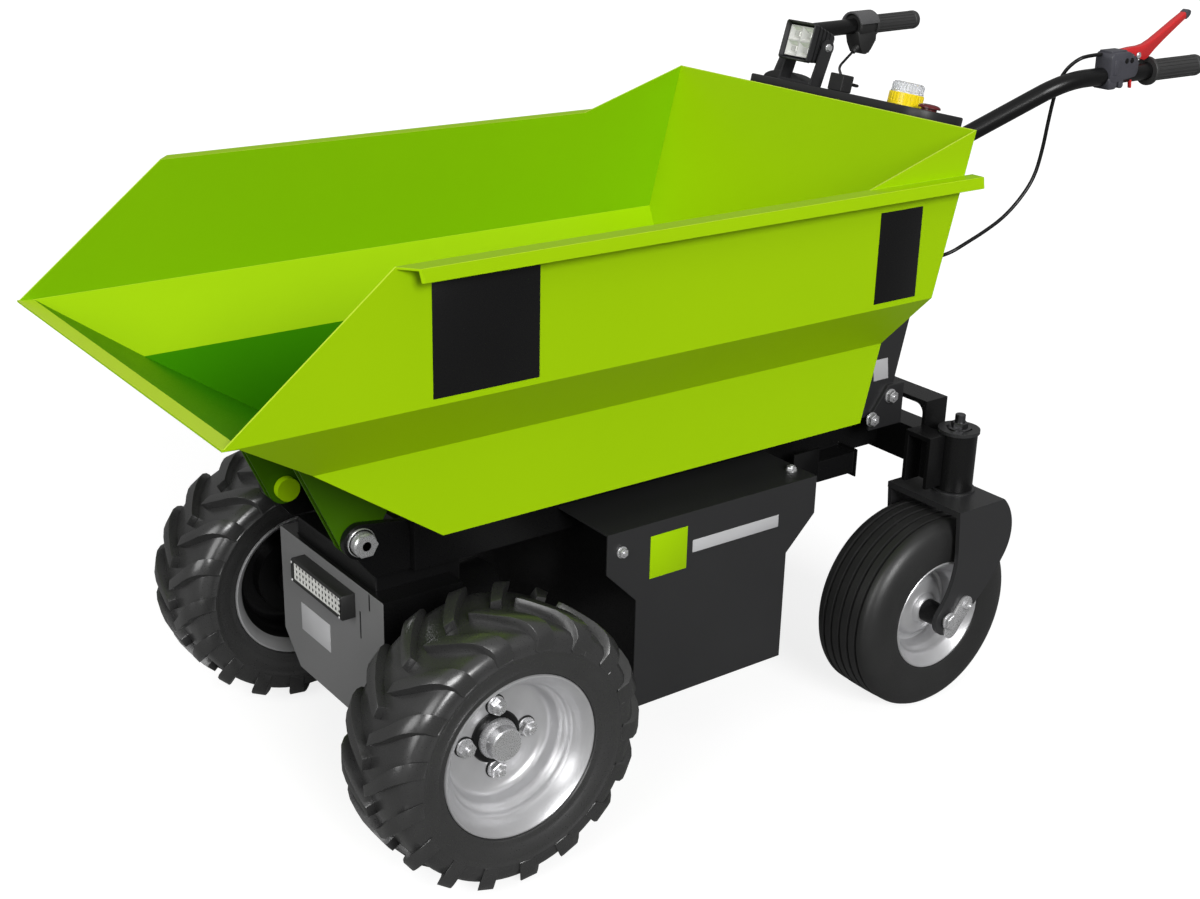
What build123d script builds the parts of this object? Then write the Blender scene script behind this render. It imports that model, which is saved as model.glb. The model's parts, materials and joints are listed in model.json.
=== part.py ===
from math import cos, pi, radians, sin, tan
import os

from build123d import *

os.makedirs("parts", exist_ok=True)

# Driving dimensions in millimetres. Places along the machine are measured from
# the front axle, forward positive, heights from the ground, widths from the
# middle of the machine.
lip_reach = 380.0
handle_reach = 1386.0
axle_x = (handle_reach - lip_reach) / 2
running_gap = 0.3
side = Plane(origin=(axle_x, 0, 0), x_dir=(1, 0, 0), z_dir=(0, -1, 0))
hands = (("left", 1), ("right", -1))

# Front drive wheels
front_radius = 205.0
front_width = 160.0
front_track_half = 316.0
front_bead_radius = 101.6
front_flange_radius = 121.0
front_rim_half = 70.0
lugs_per_side = 17
lug_height = 15.0

# Rear casters
caster_radius = 166.0
caster_width = 128.0
caster_bead_radius = 76.0
caster_flange_radius = 93.0
caster_rim_half = 60.0
swivel_x = -911.0
swivel_y = 300.0
caster_lead = 73.0
stem_radius = 18.0
caster_axle_radius = 10.0

# Load tub
sheet = 3.0
tub_half = 345.0
floor_half = 271.0
floor_z = 501.0
band_foot_z = 627.0
crease_z = 715.0
rim_z = 896.0
rear_top_z = 961.0
rim_front = 152.0
gusset_start = -614.0
rear_top = -825.0
floor_rear = -711.0
floor_front = 49.0
lip_fold = 22.0
rim_flange = 23.0
rim_drop = 17.0

# Tub pivot
pivot_x = 97.0
pivot_z = 450.0
pivot_radius = 12.0
ear_radius = 26.0
rib_inner = 98.0
rib_width = 22.0
rib_sheet = 4.0
ear_thickness = 12.0

# Frame
rail_inner = 105.0
rail_width = 40.0
rail_bottom = 390.0
rail_height = 75.0
rail_front = 20.0
beam_length = 50.0
beam_bottom = 380.0
beam_height = 62.0
hoop_half = 248.0
hoop_top = 495.0
hoop_plate = 8.0
hoop_corner = 16.0

# Drive housing and front cover
cover_front = 80.0
cover_half = 158.0
cover_bottom = 140.0
cover_top = 361.0
cover_corner = 48.0

# Battery box
box_half = 270.0
box_top = 431.0
box_shoulder = 368.0
box_step = 55.0
box_bottom = 132.0
box_front = -222.0
box_rear = -627.0

# Console and handlebars
console_half = 190.0
console_front = -755.0
console_depth = 108.0
console_lean = 13.0
panel_top = 968.0
panel_thickness = 20.0
panel_overhang = 20.0
tube_radius = 14.0
grip_y = 318.0
grip_z = 1012.0
grip_radius = 17.0
grip_length = 132.0

rail_top = rail_bottom + rail_height
rail_outer = rail_inner + rail_width
beam_front = swivel_x + beam_length / 2
beam_rear = swivel_x - beam_length / 2
beam_top = beam_bottom + beam_height
caster_x = swivel_x + caster_lead


def side_plane(y):
    return side.offset(-y)


def block(x_from, x_to, y_from, y_to, z_from, z_to, mode=Mode.ADD):
    with Locations((axle_x + (x_from + x_to) / 2, (y_from + y_to) / 2, (z_from + z_to) / 2)):
        Box(abs(x_to - x_from), abs(y_to - y_from), abs(z_to - z_from), mode=mode)


def disc_y(x, z, radius, y_from, y_to, mode=Mode.ADD):
    with BuildSketch(side_plane(y_from)) as outline:
        with Locations((x, z)):
            Circle(radius)
    extrude(outline.sketch, amount=y_from - y_to, mode=mode)


def disc_z(x, y, radius, z_from, z_to, mode=Mode.ADD):
    with BuildSketch(Plane.XY.offset(z_from)) as outline:
        with Locations((axle_x + x, y)):
            Circle(radius)
    extrude(outline.sketch, amount=z_to - z_from, mode=mode)


def plate_y(corners, y_from, y_to, mode=Mode.ADD):
    with BuildSketch(side_plane(y_from)) as outline:
        with BuildLine():
            Polyline(*corners, close=True)
        make_face()
    extrude(outline.sketch, amount=y_from - y_to, mode=mode)


def mirrored(piece):
    with BuildPart() as twin:
        mirror(piece.part, about=Plane.XZ)
    return twin


# Load tub: a folded section along the machine, cut to the side profile
lip_foot = (lip_reach - lip_fold, crease_z - 2)
tub_profile = [(floor_rear, floor_z), (floor_front, floor_z), lip_foot, (lip_reach, crease_z),
               (rim_front, rim_z), (gusset_start, rim_z), (rear_top, rear_top_z)]
half_section = [(tub_half, rear_top_z), (tub_half, crease_z), (floor_half, band_foot_z),
                (floor_half, floor_z)]
full_section = half_section + [(-y, z) for y, z in reversed(half_section)]
tub_length = lip_reach - rear_top
section_plane = Plane.YZ.offset(axle_x + rear_top)

with BuildPart() as tub_envelope:
    with BuildSketch(section_plane):
        with BuildLine():
            Polyline(*full_section, close=True)
        make_face()
    extrude(amount=tub_length)

with BuildPart() as tub_rear_wall:
    with BuildSketch(side_plane(-tub_half)):
        with BuildLine():
            Polyline((floor_rear, floor_z), (rear_top, rear_top_z))
            offset(amount=sheet, side=Side.RIGHT, kind=Kind.INTERSECTION)
        make_face()
    extrude(amount=-2 * tub_half)
    add(tub_envelope.part, mode=Mode.INTERSECT)
tub_rear_wall.part.label = "tub_rear_wall"
export_step(tub_rear_wall.part, "parts/tub_rear_wall.step")

flange_edge = tub_half + rim_flange
flange_foot = (flange_edge + sheet, rim_z - rim_drop)
with BuildPart() as tub_left_side:
    with BuildSketch(section_plane):
        with BuildLine():
            Polyline(*half_section)
            offset(amount=sheet, side=Side.RIGHT, kind=Kind.INTERSECTION)
        make_face()
    extrude(amount=tub_length)
    plate_y(tub_profile, -tub_half, tub_half, mode=Mode.INTERSECT)
    add(tub_rear_wall.part, mode=Mode.SUBTRACT)
    with BuildSketch(section_plane):
        with BuildLine():
            Polyline((tub_half, rim_z), (flange_edge, rim_z), flange_foot)
            offset(amount=sheet, side=Side.RIGHT, kind=Kind.INTERSECTION)
        make_face()
    extrude(amount=rim_front - rear_top)
    with BuildSketch(Plane.XY.offset(rim_z - rim_drop - sheet)):
        with BuildLine():
            corner_x = axle_x + rim_front
            Polyline((corner_x, tub_half), (corner_x, flange_foot[0]),
                     (corner_x - rim_flange, flange_foot[0]), close=True)
        make_face()
    extrude(amount=rim_drop + 2 * sheet, mode=Mode.SUBTRACT)
tub_left_side.part.label = "tub_left_side"
export_step(tub_left_side.part, "parts/tub_left_side.step")
tub_right_side = mirrored(tub_left_side)
tub_right_side.part.label = "tub_right_side"
export_step(tub_right_side.part, "parts/tub_right_side.step")

with BuildPart() as tub_floor:
    with BuildSketch(side_plane(-tub_half)):
        with BuildLine():
            Polyline(*tub_profile[:4])
            offset(amount=sheet, side=Side.LEFT, kind=Kind.INTERSECTION)
        make_face()
    extrude(amount=-2 * tub_half)
    add(tub_envelope.part, mode=Mode.INTERSECT)
    for wall in (tub_rear_wall, tub_left_side, tub_right_side):
        add(wall.part, mode=Mode.SUBTRACT)
tub_floor.part.label = "tub_floor"
export_step(tub_floor.part, "parts/tub_floor.step")

# Folded channel ribs that carry the tub on its pivot bolts, open to the front
ramp_slope = (lip_foot[1] - floor_z) / (lip_foot[0] - floor_front)
rib_reach = 192.0
rib_heel = 35.0
bush_wall = 5.0
rib_outer = rib_inner + rib_width
rib_head = (rib_reach, floor_z + (rib_reach - floor_front) * ramp_slope)
rib_back = (pivot_x - ear_radius * 0.9, pivot_z - ear_radius * 0.4)
rib_outline = [rib_head, (floor_front, floor_z), (rib_heel, floor_z), rib_back,
               (pivot_x + ear_radius * 0.85, pivot_z - ear_radius * 0.5)]
web_depth = rib_sheet * 1.2
rib_web = [(rib_heel, floor_z), rib_back, (rib_back[0] + web_depth, rib_back[1]),
           (rib_heel + web_depth, floor_z)]
with BuildPart() as tub_ribs:
    for y in (rib_inner, rib_outer - rib_sheet):
        plate_y(rib_outline, y, y + rib_sheet)
        disc_y(pivot_x, pivot_z, ear_radius, y, y + rib_sheet)
    plate_y(rib_web, rib_inner, rib_outer)
    disc_y(pivot_x, pivot_z, pivot_radius + bush_wall, rib_inner, rib_outer)
    disc_y(pivot_x, pivot_z, pivot_radius + running_gap, rib_inner, rib_outer, mode=Mode.SUBTRACT)
    mirror(about=Plane.XZ)
tub_ribs.part.label = "tub_ribs"
export_step(tub_ribs.part, "parts/tub_ribs.step")

# Frame rails with their rear step brackets
step_front = -714.0
step_rear = -797.0
step_half = 183.0
step_bottom = 368.0
step_top = 405.0
step_lip = 6.0
with BuildPart() as frame_rails:
    block(beam_front, rail_front, rail_inner, rail_outer, rail_bottom, rail_top)
    block(step_rear, step_front, step_half - sheet, step_half, step_bottom, step_top)
    block(step_rear, step_front, rail_outer, step_half, step_top - sheet, step_top)
    block(step_rear, step_rear + sheet, rail_outer, step_half + step_lip, step_bottom - step_lip,
          step_top + step_lip)
    mirror(about=Plane.XZ)
frame_rails.part.label = "frame_rails"
export_step(frame_rails.part, "parts/frame_rails.step")

cross_tube_length = 60.0
cross_tube_height = 60.0
with BuildPart() as front_cross_tube:
    block(rail_front - cross_tube_length, rail_front, -rail_inner, rail_inner, rail_bottom,
          rail_bottom + cross_tube_height)
front_cross_tube.part.label = "front_cross_tube"
export_step(front_cross_tube.part, "parts/front_cross_tube.step")

# Pivot ears on the rails' ends, and the pivot bolts
ear_play = 1.0
ear_inner = rib_outer + ear_play
ear_outer = ear_inner + ear_thickness
ear_outline = [(rail_front, rail_bottom), (pivot_x - ear_radius * 0.8, rail_bottom),
               (pivot_x + ear_radius, pivot_z), (pivot_x, pivot_z + ear_radius), (rail_front, rail_top)]
with BuildPart() as pivot_ears:
    plate_y(ear_outline, ear_inner, ear_outer)
    disc_y(pivot_x, pivot_z, ear_radius, ear_inner, ear_outer)
    disc_y(pivot_x, pivot_z, pivot_radius + running_gap, ear_inner, ear_outer, mode=Mode.SUBTRACT)
    mirror(about=Plane.XZ)
pivot_ears.part.label = "pivot_ears"
export_step(pivot_ears.part, "parts/pivot_ears.step")

bolt_head = 14.0
bolt_hex = 18.0
washer_radius = 20.0
washer_thickness = 3.0
with BuildPart() as pivot_bolts:
    disc_y(pivot_x, pivot_z, pivot_radius, rib_inner - ear_play, ear_outer)
    disc_y(pivot_x, pivot_z, washer_radius, ear_outer, ear_outer + washer_thickness)
    with BuildSketch(side_plane(ear_outer + washer_thickness)):
        with Locations((pivot_x, pivot_z)):
            RegularPolygon(bolt_hex, 6)
    extrude(amount=-bolt_head)
    disc_y(pivot_x, pivot_z, bolt_hex, rib_inner - bolt_head, rib_inner - ear_play)
    mirror(about=Plane.XZ)
pivot_bolts.part.label = "pivot_bolts"
export_step(pivot_bolts.part, "parts/pivot_bolts.step")

# Rear cross beam with a channel bracket at each end, swivel tubes and the hoop over the beam
swivel_tube_radius = 31.0
swivel_bottom = 358.0
swivel_top = 455.0
channel_depth = 41.0
channel_inner = 245.0
channel_bottom = 366.0
channel_wall = 8.0
with BuildPart() as rear_beam:
    keep_half = swivel_y - swivel_tube_radius / 2
    block(beam_rear, beam_front, -keep_half, keep_half, beam_bottom, beam_top)
    for name, hand in hands:
        block(beam_front, beam_front + channel_depth, hand * channel_inner, hand * swivel_y, channel_bottom,
              swivel_top)
        block(beam_front + channel_wall, beam_front + channel_depth, hand * (channel_inner + channel_wall),
              hand * (swivel_y - channel_wall), channel_bottom, swivel_top - channel_wall, Mode.SUBTRACT)
        disc_z(swivel_x, hand * swivel_y, swivel_tube_radius + running_gap, channel_bottom, swivel_top,
               Mode.SUBTRACT)
rear_beam.part.label = "rear_beam"
export_step(rear_beam.part, "parts/rear_beam.step")

with BuildPart() as swivel_tubes:
    for name, hand in hands:
        disc_z(swivel_x, hand * swivel_y, swivel_tube_radius, swivel_bottom, swivel_top)
        disc_z(swivel_x, hand * swivel_y, stem_radius + running_gap, swivel_bottom, swivel_top, Mode.SUBTRACT)
swivel_tubes.part.label = "swivel_tubes"
export_step(swivel_tubes.part, "parts/swivel_tubes.step")

with BuildPart() as rear_hoop:
    with BuildSketch(Plane.YZ.offset(axle_x + beam_rear)):
        with Locations((0, (beam_top + hoop_top) / 2)):
            Rectangle(2 * hoop_half, hoop_top - beam_top)
        with Locations((0, beam_top)):
            RectangleRounded(2 * (hoop_half - hoop_plate), 2 * (hoop_top - hoop_plate - beam_top),
                             hoop_corner, mode=Mode.SUBTRACT)
    extrude(amount=beam_length)
rear_hoop.part.label = "rear_hoop"
export_step(rear_hoop.part, "parts/rear_hoop.step")

# Rubber rests between the rails and the tub floor
rest_places = (-250.0, -620.0)
rest_length = 60.0
rest_width = 30.0
with BuildPart() as tub_rests:
    for place in rest_places:
        for name, hand in hands:
            y = hand * (rail_inner + rail_width / 2)
            block(place - rest_length / 2, place + rest_length / 2, y - rest_width / 2, y + rest_width / 2,
                  rail_top, floor_z - running_gap)
tub_rests.part.label = "tub_rests"
export_step(tub_rests.part, "parts/tub_rests.step")

# Drive housing, its axle tubes, the motor behind it and the front cover
cover_sheet = 10.0
housing_half = 120.0
housing_front = cover_front - cover_sheet
housing_rear = -70.0
housing_bottom = 152.0
axle_tube_radius = 32.0
axle_tube_end = 278.0
stub_radius = 18.0
stub_depth = 70.0
with BuildPart() as drive_housing:
    block(housing_rear, housing_front, -housing_half, housing_half, housing_bottom, rail_bottom)
drive_housing.part.label = "drive_housing"
export_step(drive_housing.part, "parts/drive_housing.step")

with BuildPart() as axle_tubes:
    for name, hand in hands:
        disc_y(0, front_radius, axle_tube_radius, hand * housing_half, hand * axle_tube_end)
        disc_y(0, front_radius, stub_radius + running_gap, hand * axle_tube_end,
               hand * (axle_tube_end - stub_depth), Mode.SUBTRACT)
axle_tubes.part.label = "axle_tubes"
export_step(axle_tubes.part, "parts/axle_tubes.step")

motor_radius = 62.0
motor_length = 120.0
motor_rise = 20.0
with BuildPart() as drive_motor:
    with BuildSketch(Plane.YZ.offset(axle_x + housing_rear)):
        with Locations((0, housing_bottom + motor_rise + motor_radius)):
            Circle(motor_radius)
    extrude(amount=-motor_length)
drive_motor.part.label = "drive_motor"
export_step(drive_motor.part, "parts/drive_motor.step")

cover_return = 130.0
axle_slot_gap = 6.0
cover_face = [(-cover_half, cover_bottom + cover_corner), (cover_corner - cover_half, cover_bottom),
              (cover_half - cover_corner, cover_bottom), (cover_half, cover_bottom + cover_corner),
              (cover_half, cover_top), (-cover_half, cover_top)]
with BuildPart() as front_cover:
    with BuildSketch(Plane.YZ.offset(axle_x + cover_front)):
        with BuildLine():
            Polyline(*cover_face, close=True)
        make_face()
    extrude(amount=-cover_return)
    block(cover_front - cover_return, housing_front, sheet - cover_half, cover_half - sheet, 0,
          cover_top - sheet, Mode.SUBTRACT)
    block(cover_front - cover_return, housing_front, -housing_half, housing_half, 0, cover_top, Mode.SUBTRACT)
    axle_slot = axle_tube_radius + axle_slot_gap
    disc_y(0, front_radius, axle_slot, -cover_half, cover_half, Mode.SUBTRACT)
    block(-axle_slot, axle_slot, -cover_half, cover_half, 0, front_radius, Mode.SUBTRACT)
front_cover.part.label = "front_cover"
export_step(front_cover.part, "parts/front_cover.step")

# Light bar on the front cover
lamp_half = 78.0
lamp_bottom = 306.0
lamp_top = 345.0
lamp_depth = 24.0
lamp_frame = 7.0
lens_set_back = 2.0
with BuildPart() as light_bar:
    block(cover_front, cover_front + lamp_depth, -lamp_half, lamp_half, lamp_bottom, lamp_top)
    block(cover_front + lamp_depth / 2, cover_front + lamp_depth, lamp_frame - lamp_half,
          lamp_half - lamp_frame, lamp_bottom + lamp_frame, lamp_top - lamp_frame, Mode.SUBTRACT)
light_bar.part.label = "light_bar"
export_step(light_bar.part, "parts/light_bar.step")

with BuildPart() as light_bar_lens:
    block(cover_front + lamp_depth / 2, cover_front + lamp_depth - lens_set_back, lamp_frame - lamp_half,
          lamp_half - lamp_frame, lamp_bottom + lamp_frame, lamp_top - lamp_frame)
light_bar_lens.part.label = "light_bar_lens"
export_step(light_bar_lens.part, "parts/light_bar_lens.step")

# Battery tray under the rails, the side covers and the battery
tray_front = box_front - box_step
tray_rear = box_rear + box_step
with BuildPart() as battery_tray:
    block(tray_rear, tray_front, sheet - box_half, box_half - sheet, box_bottom, rail_bottom)
    block(tray_rear + sheet, tray_front - sheet, sheet - box_half, box_half - sheet, box_bottom + sheet,
          rail_bottom, Mode.SUBTRACT)
battery_tray.part.label = "battery_tray"
export_step(battery_tray.part, "parts/battery_tray.step")

cover_outline = [(box_front, box_top), (box_front, box_shoulder), (tray_front, box_shoulder - box_step),
                 (tray_front, box_bottom), (tray_rear, box_bottom), (tray_rear, box_shoulder - box_step),
                 (box_rear, box_shoulder), (box_rear, box_top)]
with BuildPart() as battery_cover_left:
    plate_y(cover_outline, box_half - sheet, box_half)
    block(box_rear, box_front, rail_outer, box_half, box_top - sheet, box_top)
battery_cover_left.part.label = "battery_cover_left"
export_step(battery_cover_left.part, "parts/battery_cover_left.step")
battery_cover_right = mirrored(battery_cover_left)
battery_cover_right.part.label = "battery_cover_right"
export_step(battery_cover_right.part, "parts/battery_cover_right.step")

battery_gap = 8.0
with BuildPart() as battery:
    block(tray_rear + sheet + battery_gap, tray_front - sheet - battery_gap, battery_gap + sheet - box_half,
          box_half - sheet - battery_gap, box_bottom + sheet, rail_bottom - 2 * battery_gap)
battery.part.label = "battery"
export_step(battery.part, "parts/battery.step")

# Console column leaning with the tub's rear wall, with a foot plate on each side.
# The panel on its top is square to it, so it falls towards the rear.
lean = tan(radians(console_lean))
panel_lip = 12.0
panel_depth = 124.0
panel_way = Vector(cos(radians(console_lean)), 0, sin(radians(console_lean)))
panel_up = Vector(-panel_way.Z, 0, panel_way.X)


def console_x(z):
    return console_front - (z - floor_z) * lean


panel_front = console_x(panel_top) + panel_lip
panel_edge = Vector(panel_front, 0, panel_top)
panel_plane = Plane(origin=panel_edge + (axle_x, 0, 0), x_dir=panel_way, z_dir=panel_up)


def on_panel(along, above):
    return panel_edge + panel_way * along + panel_up * above


def panel_disc(along, y, radius, bottom, top):
    with BuildSketch(panel_plane.offset(bottom)) as outline:
        with Locations((along, y)):
            Circle(radius)
    extrude(outline.sketch, amount=top - bottom)


def panel_block(rear, front, right, left, bottom, top):
    with BuildSketch(panel_plane.offset(bottom)) as outline:
        with Locations(((rear + front) / 2, (right + left) / 2)):
            Rectangle(front - rear, left - right)
    extrude(outline.sketch, amount=top - bottom)


foot_plate = 6.0
foot_length = 76.0
foot_rise = 20.0
head_along = (on_panel(0, -panel_thickness) - Vector(console_x(rail_top), 0, rail_top)).dot(panel_way)
head_front = on_panel(-head_along, -panel_thickness)
head_rear = on_panel(-head_along - console_depth * panel_way.X, -panel_thickness)
console_outline = [(console_x(rail_top), rail_top), (head_front.X, head_front.Z), (head_rear.X, head_rear.Z),
                   (console_x(rail_top) - console_depth, rail_top)]
foot_outline = [(beam_front, beam_top), (beam_front + foot_length, beam_top),
                (beam_front + foot_length, rail_top),
                (beam_front + foot_length / 2, hoop_top + foot_rise), (beam_front, hoop_top + foot_rise)]
with BuildPart() as console_column:
    plate_y(console_outline, -console_half, console_half)
    for name, hand in hands:
        plate_y(foot_outline, hand * console_half, hand * (console_half + foot_plate))
console_column.part.label = "console_column"
export_step(console_column.part, "parts/console_column.step")

# Panel with a round-backed hood at its right end
panel_half = console_half + panel_overhang
hood_rear = -76.0
hood_length = 28.0
hood_y = -155.0
hood_width = 98.0
hood_height = 16.0
with BuildPart() as console_panel:
    with BuildSketch(panel_plane):
        with Locations((-panel_depth / 2, 0)):
            RectangleRounded(panel_depth, 2 * panel_half, panel_overhang / 2)
    extrude(amount=-panel_thickness)
    with BuildSketch(Plane(origin=on_panel(hood_rear, 0) + (axle_x, 0, 0), x_dir=(0, 1, 0), z_dir=panel_way)):
        with Locations((hood_y, 0)):
            RectangleRounded(hood_width, 2 * hood_height, hood_height * 0.9)
    extrude(amount=hood_length)
console_panel.part.label = "console_panel"
export_step(console_panel.part, "parts/console_panel.step")

# Work lamp on its bracket
work_lamp_y = -100.0
work_lamp_face = panel_front - 18.5
work_lamp_z = panel_top + 64
work_lamp_width = 70.0
work_lamp_height = 64.0
work_lamp_depth = 62.0
work_lamp_tilt = 16.0
work_lamp_taper = 8.0
lens_frame = 7.0
lens_depth = 8.0
lamp_strap = 4.0
strap_width = 26.0
strap_gap = 1.0
lamp_normal = Vector(cos(radians(work_lamp_tilt)), 0, sin(radians(work_lamp_tilt)))
lamp_plane = Plane(origin=(axle_x + work_lamp_face, work_lamp_y, work_lamp_z), x_dir=(0, 1, 0),
                   z_dir=lamp_normal)
with BuildPart() as work_lamp:
    with BuildSketch(lamp_plane):
        Rectangle(work_lamp_width, work_lamp_height)
    extrude(amount=-work_lamp_depth, taper=work_lamp_taper)
    with BuildSketch(lamp_plane):
        Rectangle(work_lamp_width - 2 * lens_frame, work_lamp_height - 2 * lens_frame)
    extrude(amount=-lens_depth, mode=Mode.SUBTRACT)
work_lamp.part.label = "work_lamp"
export_step(work_lamp.part, "parts/work_lamp.step")

with BuildPart() as work_lamp_lens:
    with BuildSketch(lamp_plane.offset(-lens_depth)):
        Rectangle(work_lamp_width - 2 * lens_frame, work_lamp_height - 2 * lens_frame)
    extrude(amount=lens_depth - lens_set_back)
work_lamp_lens.part.label = "work_lamp_lens"
export_step(work_lamp_lens.part, "parts/work_lamp_lens.step")

# Each leg leans back from the panel to the lamp's pivot bolt
lamp_pivot = Vector(work_lamp_face, 0, work_lamp_z) - lamp_normal * (work_lamp_depth * 0.6)
leg_inner = work_lamp_width / 2 + strap_gap
leg_front = work_lamp_face - panel_front
leg_rear = leg_front - strap_width
leg_feet = [on_panel(leg_rear, 0), on_panel(leg_front, 0)]
leg_outline = [(foot.X, foot.Z) for foot in leg_feet]
leg_outline += [(lamp_pivot.X + hand * strap_width / 2, lamp_pivot.Z) for hand in (1, -1)]
lamp_bolt_radius = 4.0
with BuildPart() as work_lamp_bracket:
    panel_block(leg_rear, leg_front, work_lamp_y - leg_inner, work_lamp_y + leg_inner, 0, lamp_strap)
    for name, hand in hands:
        y = work_lamp_y + hand * leg_inner
        plate_y(leg_outline, y, y + hand * lamp_strap)
        disc_y(lamp_pivot.X, lamp_pivot.Z, strap_width / 2, y, y + hand * lamp_strap)
        disc_y(lamp_pivot.X, lamp_pivot.Z, lamp_bolt_radius, y + hand * lamp_strap, y + hand * 2 * lamp_strap)
        disc_y(lamp_pivot.X, lamp_pivot.Z, lamp_bolt_radius, y, y - hand * strap_gap * 6)
    add(work_lamp.part, mode=Mode.SUBTRACT)
work_lamp_bracket.part.label = "work_lamp_bracket"
export_step(work_lamp_bracket.part, "parts/work_lamp_bracket.step")

# Beacon, stop button and cable gland on the panel
beacon_along = -44.0
beacon_y = 132.0
beacon_radius = 28.0
beacon_base = 19.0
beacon_height = 36.0
beacon_wall = 2.0
with BuildPart() as beacon:
    panel_disc(beacon_along, beacon_y, beacon_radius, 0, beacon_base)
beacon.part.label = "beacon"
export_step(beacon.part, "parts/beacon.step")

with BuildPart() as beacon_lens:
    panel_disc(beacon_along, beacon_y, beacon_radius - beacon_wall, beacon_base, beacon_height)
    fillet(beacon_lens.faces().sort_by(Axis.Z)[-1].edges(), 2 * beacon_wall)
beacon_lens.part.label = "beacon_lens"
export_step(beacon_lens.part, "parts/beacon_lens.step")

stop_along = -39.0
stop_y = 189.0
stop_radius = 18.0
stop_stem = 3.0
stop_height = 10.0
with BuildPart() as stop_button:
    panel_disc(stop_along, stop_y, stop_radius * 0.7, 0, stop_stem)
    panel_disc(stop_along, stop_y, stop_radius, stop_stem, stop_height)
    fillet(stop_button.faces().sort_by(Axis.Z)[-1].edges(), stop_height / 2)
stop_button.part.label = "stop_button"
export_step(stop_button.part, "parts/stop_button.step")

gland_y = -14.0
gland_length = 25.0
gland_width = 32.0
gland_height = 28.0
gland_rear = -54.0
with BuildPart() as cable_gland:
    panel_block(gland_rear, gland_rear + gland_length, gland_y - gland_width / 2, gland_y + gland_width / 2,
                0, gland_height)
cable_gland.part.label = "cable_gland"
export_step(cable_gland.part, "parts/cable_gland.step")

# Handlebars from the column's sides out to the grips
bar_foot_z = 883.0
bar_foot_depth = 37.0
bar_foot = (console_x(bar_foot_z) - bar_foot_depth, console_half, bar_foot_z)
straight_length = 321.0
bar_bend_y = 305.0
bar_bend_z = 1008.0
bend_run = 44.87
grip_cap = 6.0
bar_bend = (straight_length - handle_reach, bar_bend_y, bar_bend_z)
bar_end = (grip_cap - handle_reach, grip_y, grip_z)
foot_run = Vector(*bar_bend) - Vector(*bar_foot)
grip_axis = Vector(*bar_end) - Vector(*bar_bend)
bar_bend_radius = bend_run / tan(radians(foot_run.get_angle(grip_axis)) / 2)
bar_root = Vector(*bar_foot) - foot_run * 0.3
bar_route = [(axle_x + p[0], p[1], p[2]) for p in (tuple(bar_root), bar_bend, bar_end)]
with BuildPart() as handlebars:
    with BuildLine() as bar_line:
        FilletPolyline(*bar_route, radius=bar_bend_radius)
    with BuildSketch(bar_line.line ^ 0):
        Circle(tube_radius)
    sweep()
    split(bisect_by=Plane.XZ.offset(-console_half), keep=Keep.BOTTOM)
    mirror(about=Plane.XZ)
handlebars.part.label = "handlebars"
export_step(handlebars.part, "parts/handlebars.step")

grip_flange = 6.0
with BuildPart() as grips:
    grip_end_plane = Plane(origin=(axle_x + bar_end[0], grip_y, grip_z), z_dir=grip_axis)
    with BuildSketch(grip_end_plane.offset(grip_cap)):
        Circle(grip_radius)
    extrude(amount=-grip_length)
    with BuildSketch(grip_end_plane.offset(grip_cap - grip_length)):
        Circle(grip_radius + grip_flange)
    extrude(amount=grip_flange)
    with BuildSketch(grip_end_plane):
        Circle(tube_radius + running_gap)
    extrude(amount=-grip_length, mode=Mode.SUBTRACT)
    mirror(about=Plane.XZ)
grips.part.label = "grips"
export_step(grips.part, "parts/grips.step")


def bar_point(x):
    return Vector(*bar_bend) + grip_axis * ((x - bar_bend[0]) / grip_axis.X)


# Lever bracket clamped on the left bar, with the lever in its slot
bracket_length = 70.0
bracket_gap = 38.0
bracket_half = 18.0
bracket_rise = 40.0
bracket_fall = 14.0
clamp_length = 50.0
clamp_drop = 6.0
lever_half = 6.0
lever_seat = 18.0
slot_length = 48.0
bracket_rear = grip_length + bracket_gap - handle_reach
bracket_front = bracket_rear + bracket_length
bracket_at = bar_point((bracket_front + bracket_rear) / 2)
bracket_top = bracket_at.Z + bracket_rise
bracket_foot = bracket_at.Z - bracket_fall
clamp_foot = bracket_foot - clamp_drop
bracket_outline = [(bracket_front, clamp_foot), (bracket_front, bracket_top),
                   (bracket_rear + slot_length, bracket_top),
                   (bracket_rear, bracket_top - bracket_fall / 2), (bracket_rear, bracket_foot),
                   (bracket_front - clamp_length, bracket_foot), (bracket_front - clamp_length, clamp_foot)]
slot_half = lever_half + running_gap
slot_floor = bracket_at.Z + lever_seat
with BuildPart() as lever_bracket:
    plate_y(bracket_outline, bracket_at.Y - bracket_half, bracket_at.Y + bracket_half)
    block(bracket_rear, bracket_rear + slot_length, bracket_at.Y - slot_half, bracket_at.Y + slot_half,
          slot_floor, bracket_top, Mode.SUBTRACT)
    with BuildSketch(Plane(origin=(axle_x + bracket_at.X, bracket_at.Y, bracket_at.Z), z_dir=grip_axis)):
        Circle(tube_radius + running_gap)
    extrude(amount=bracket_length, both=True, mode=Mode.SUBTRACT)
lever_bracket.part.label = "lever_bracket"
export_step(lever_bracket.part, "parts/lever_bracket.step")

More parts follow.
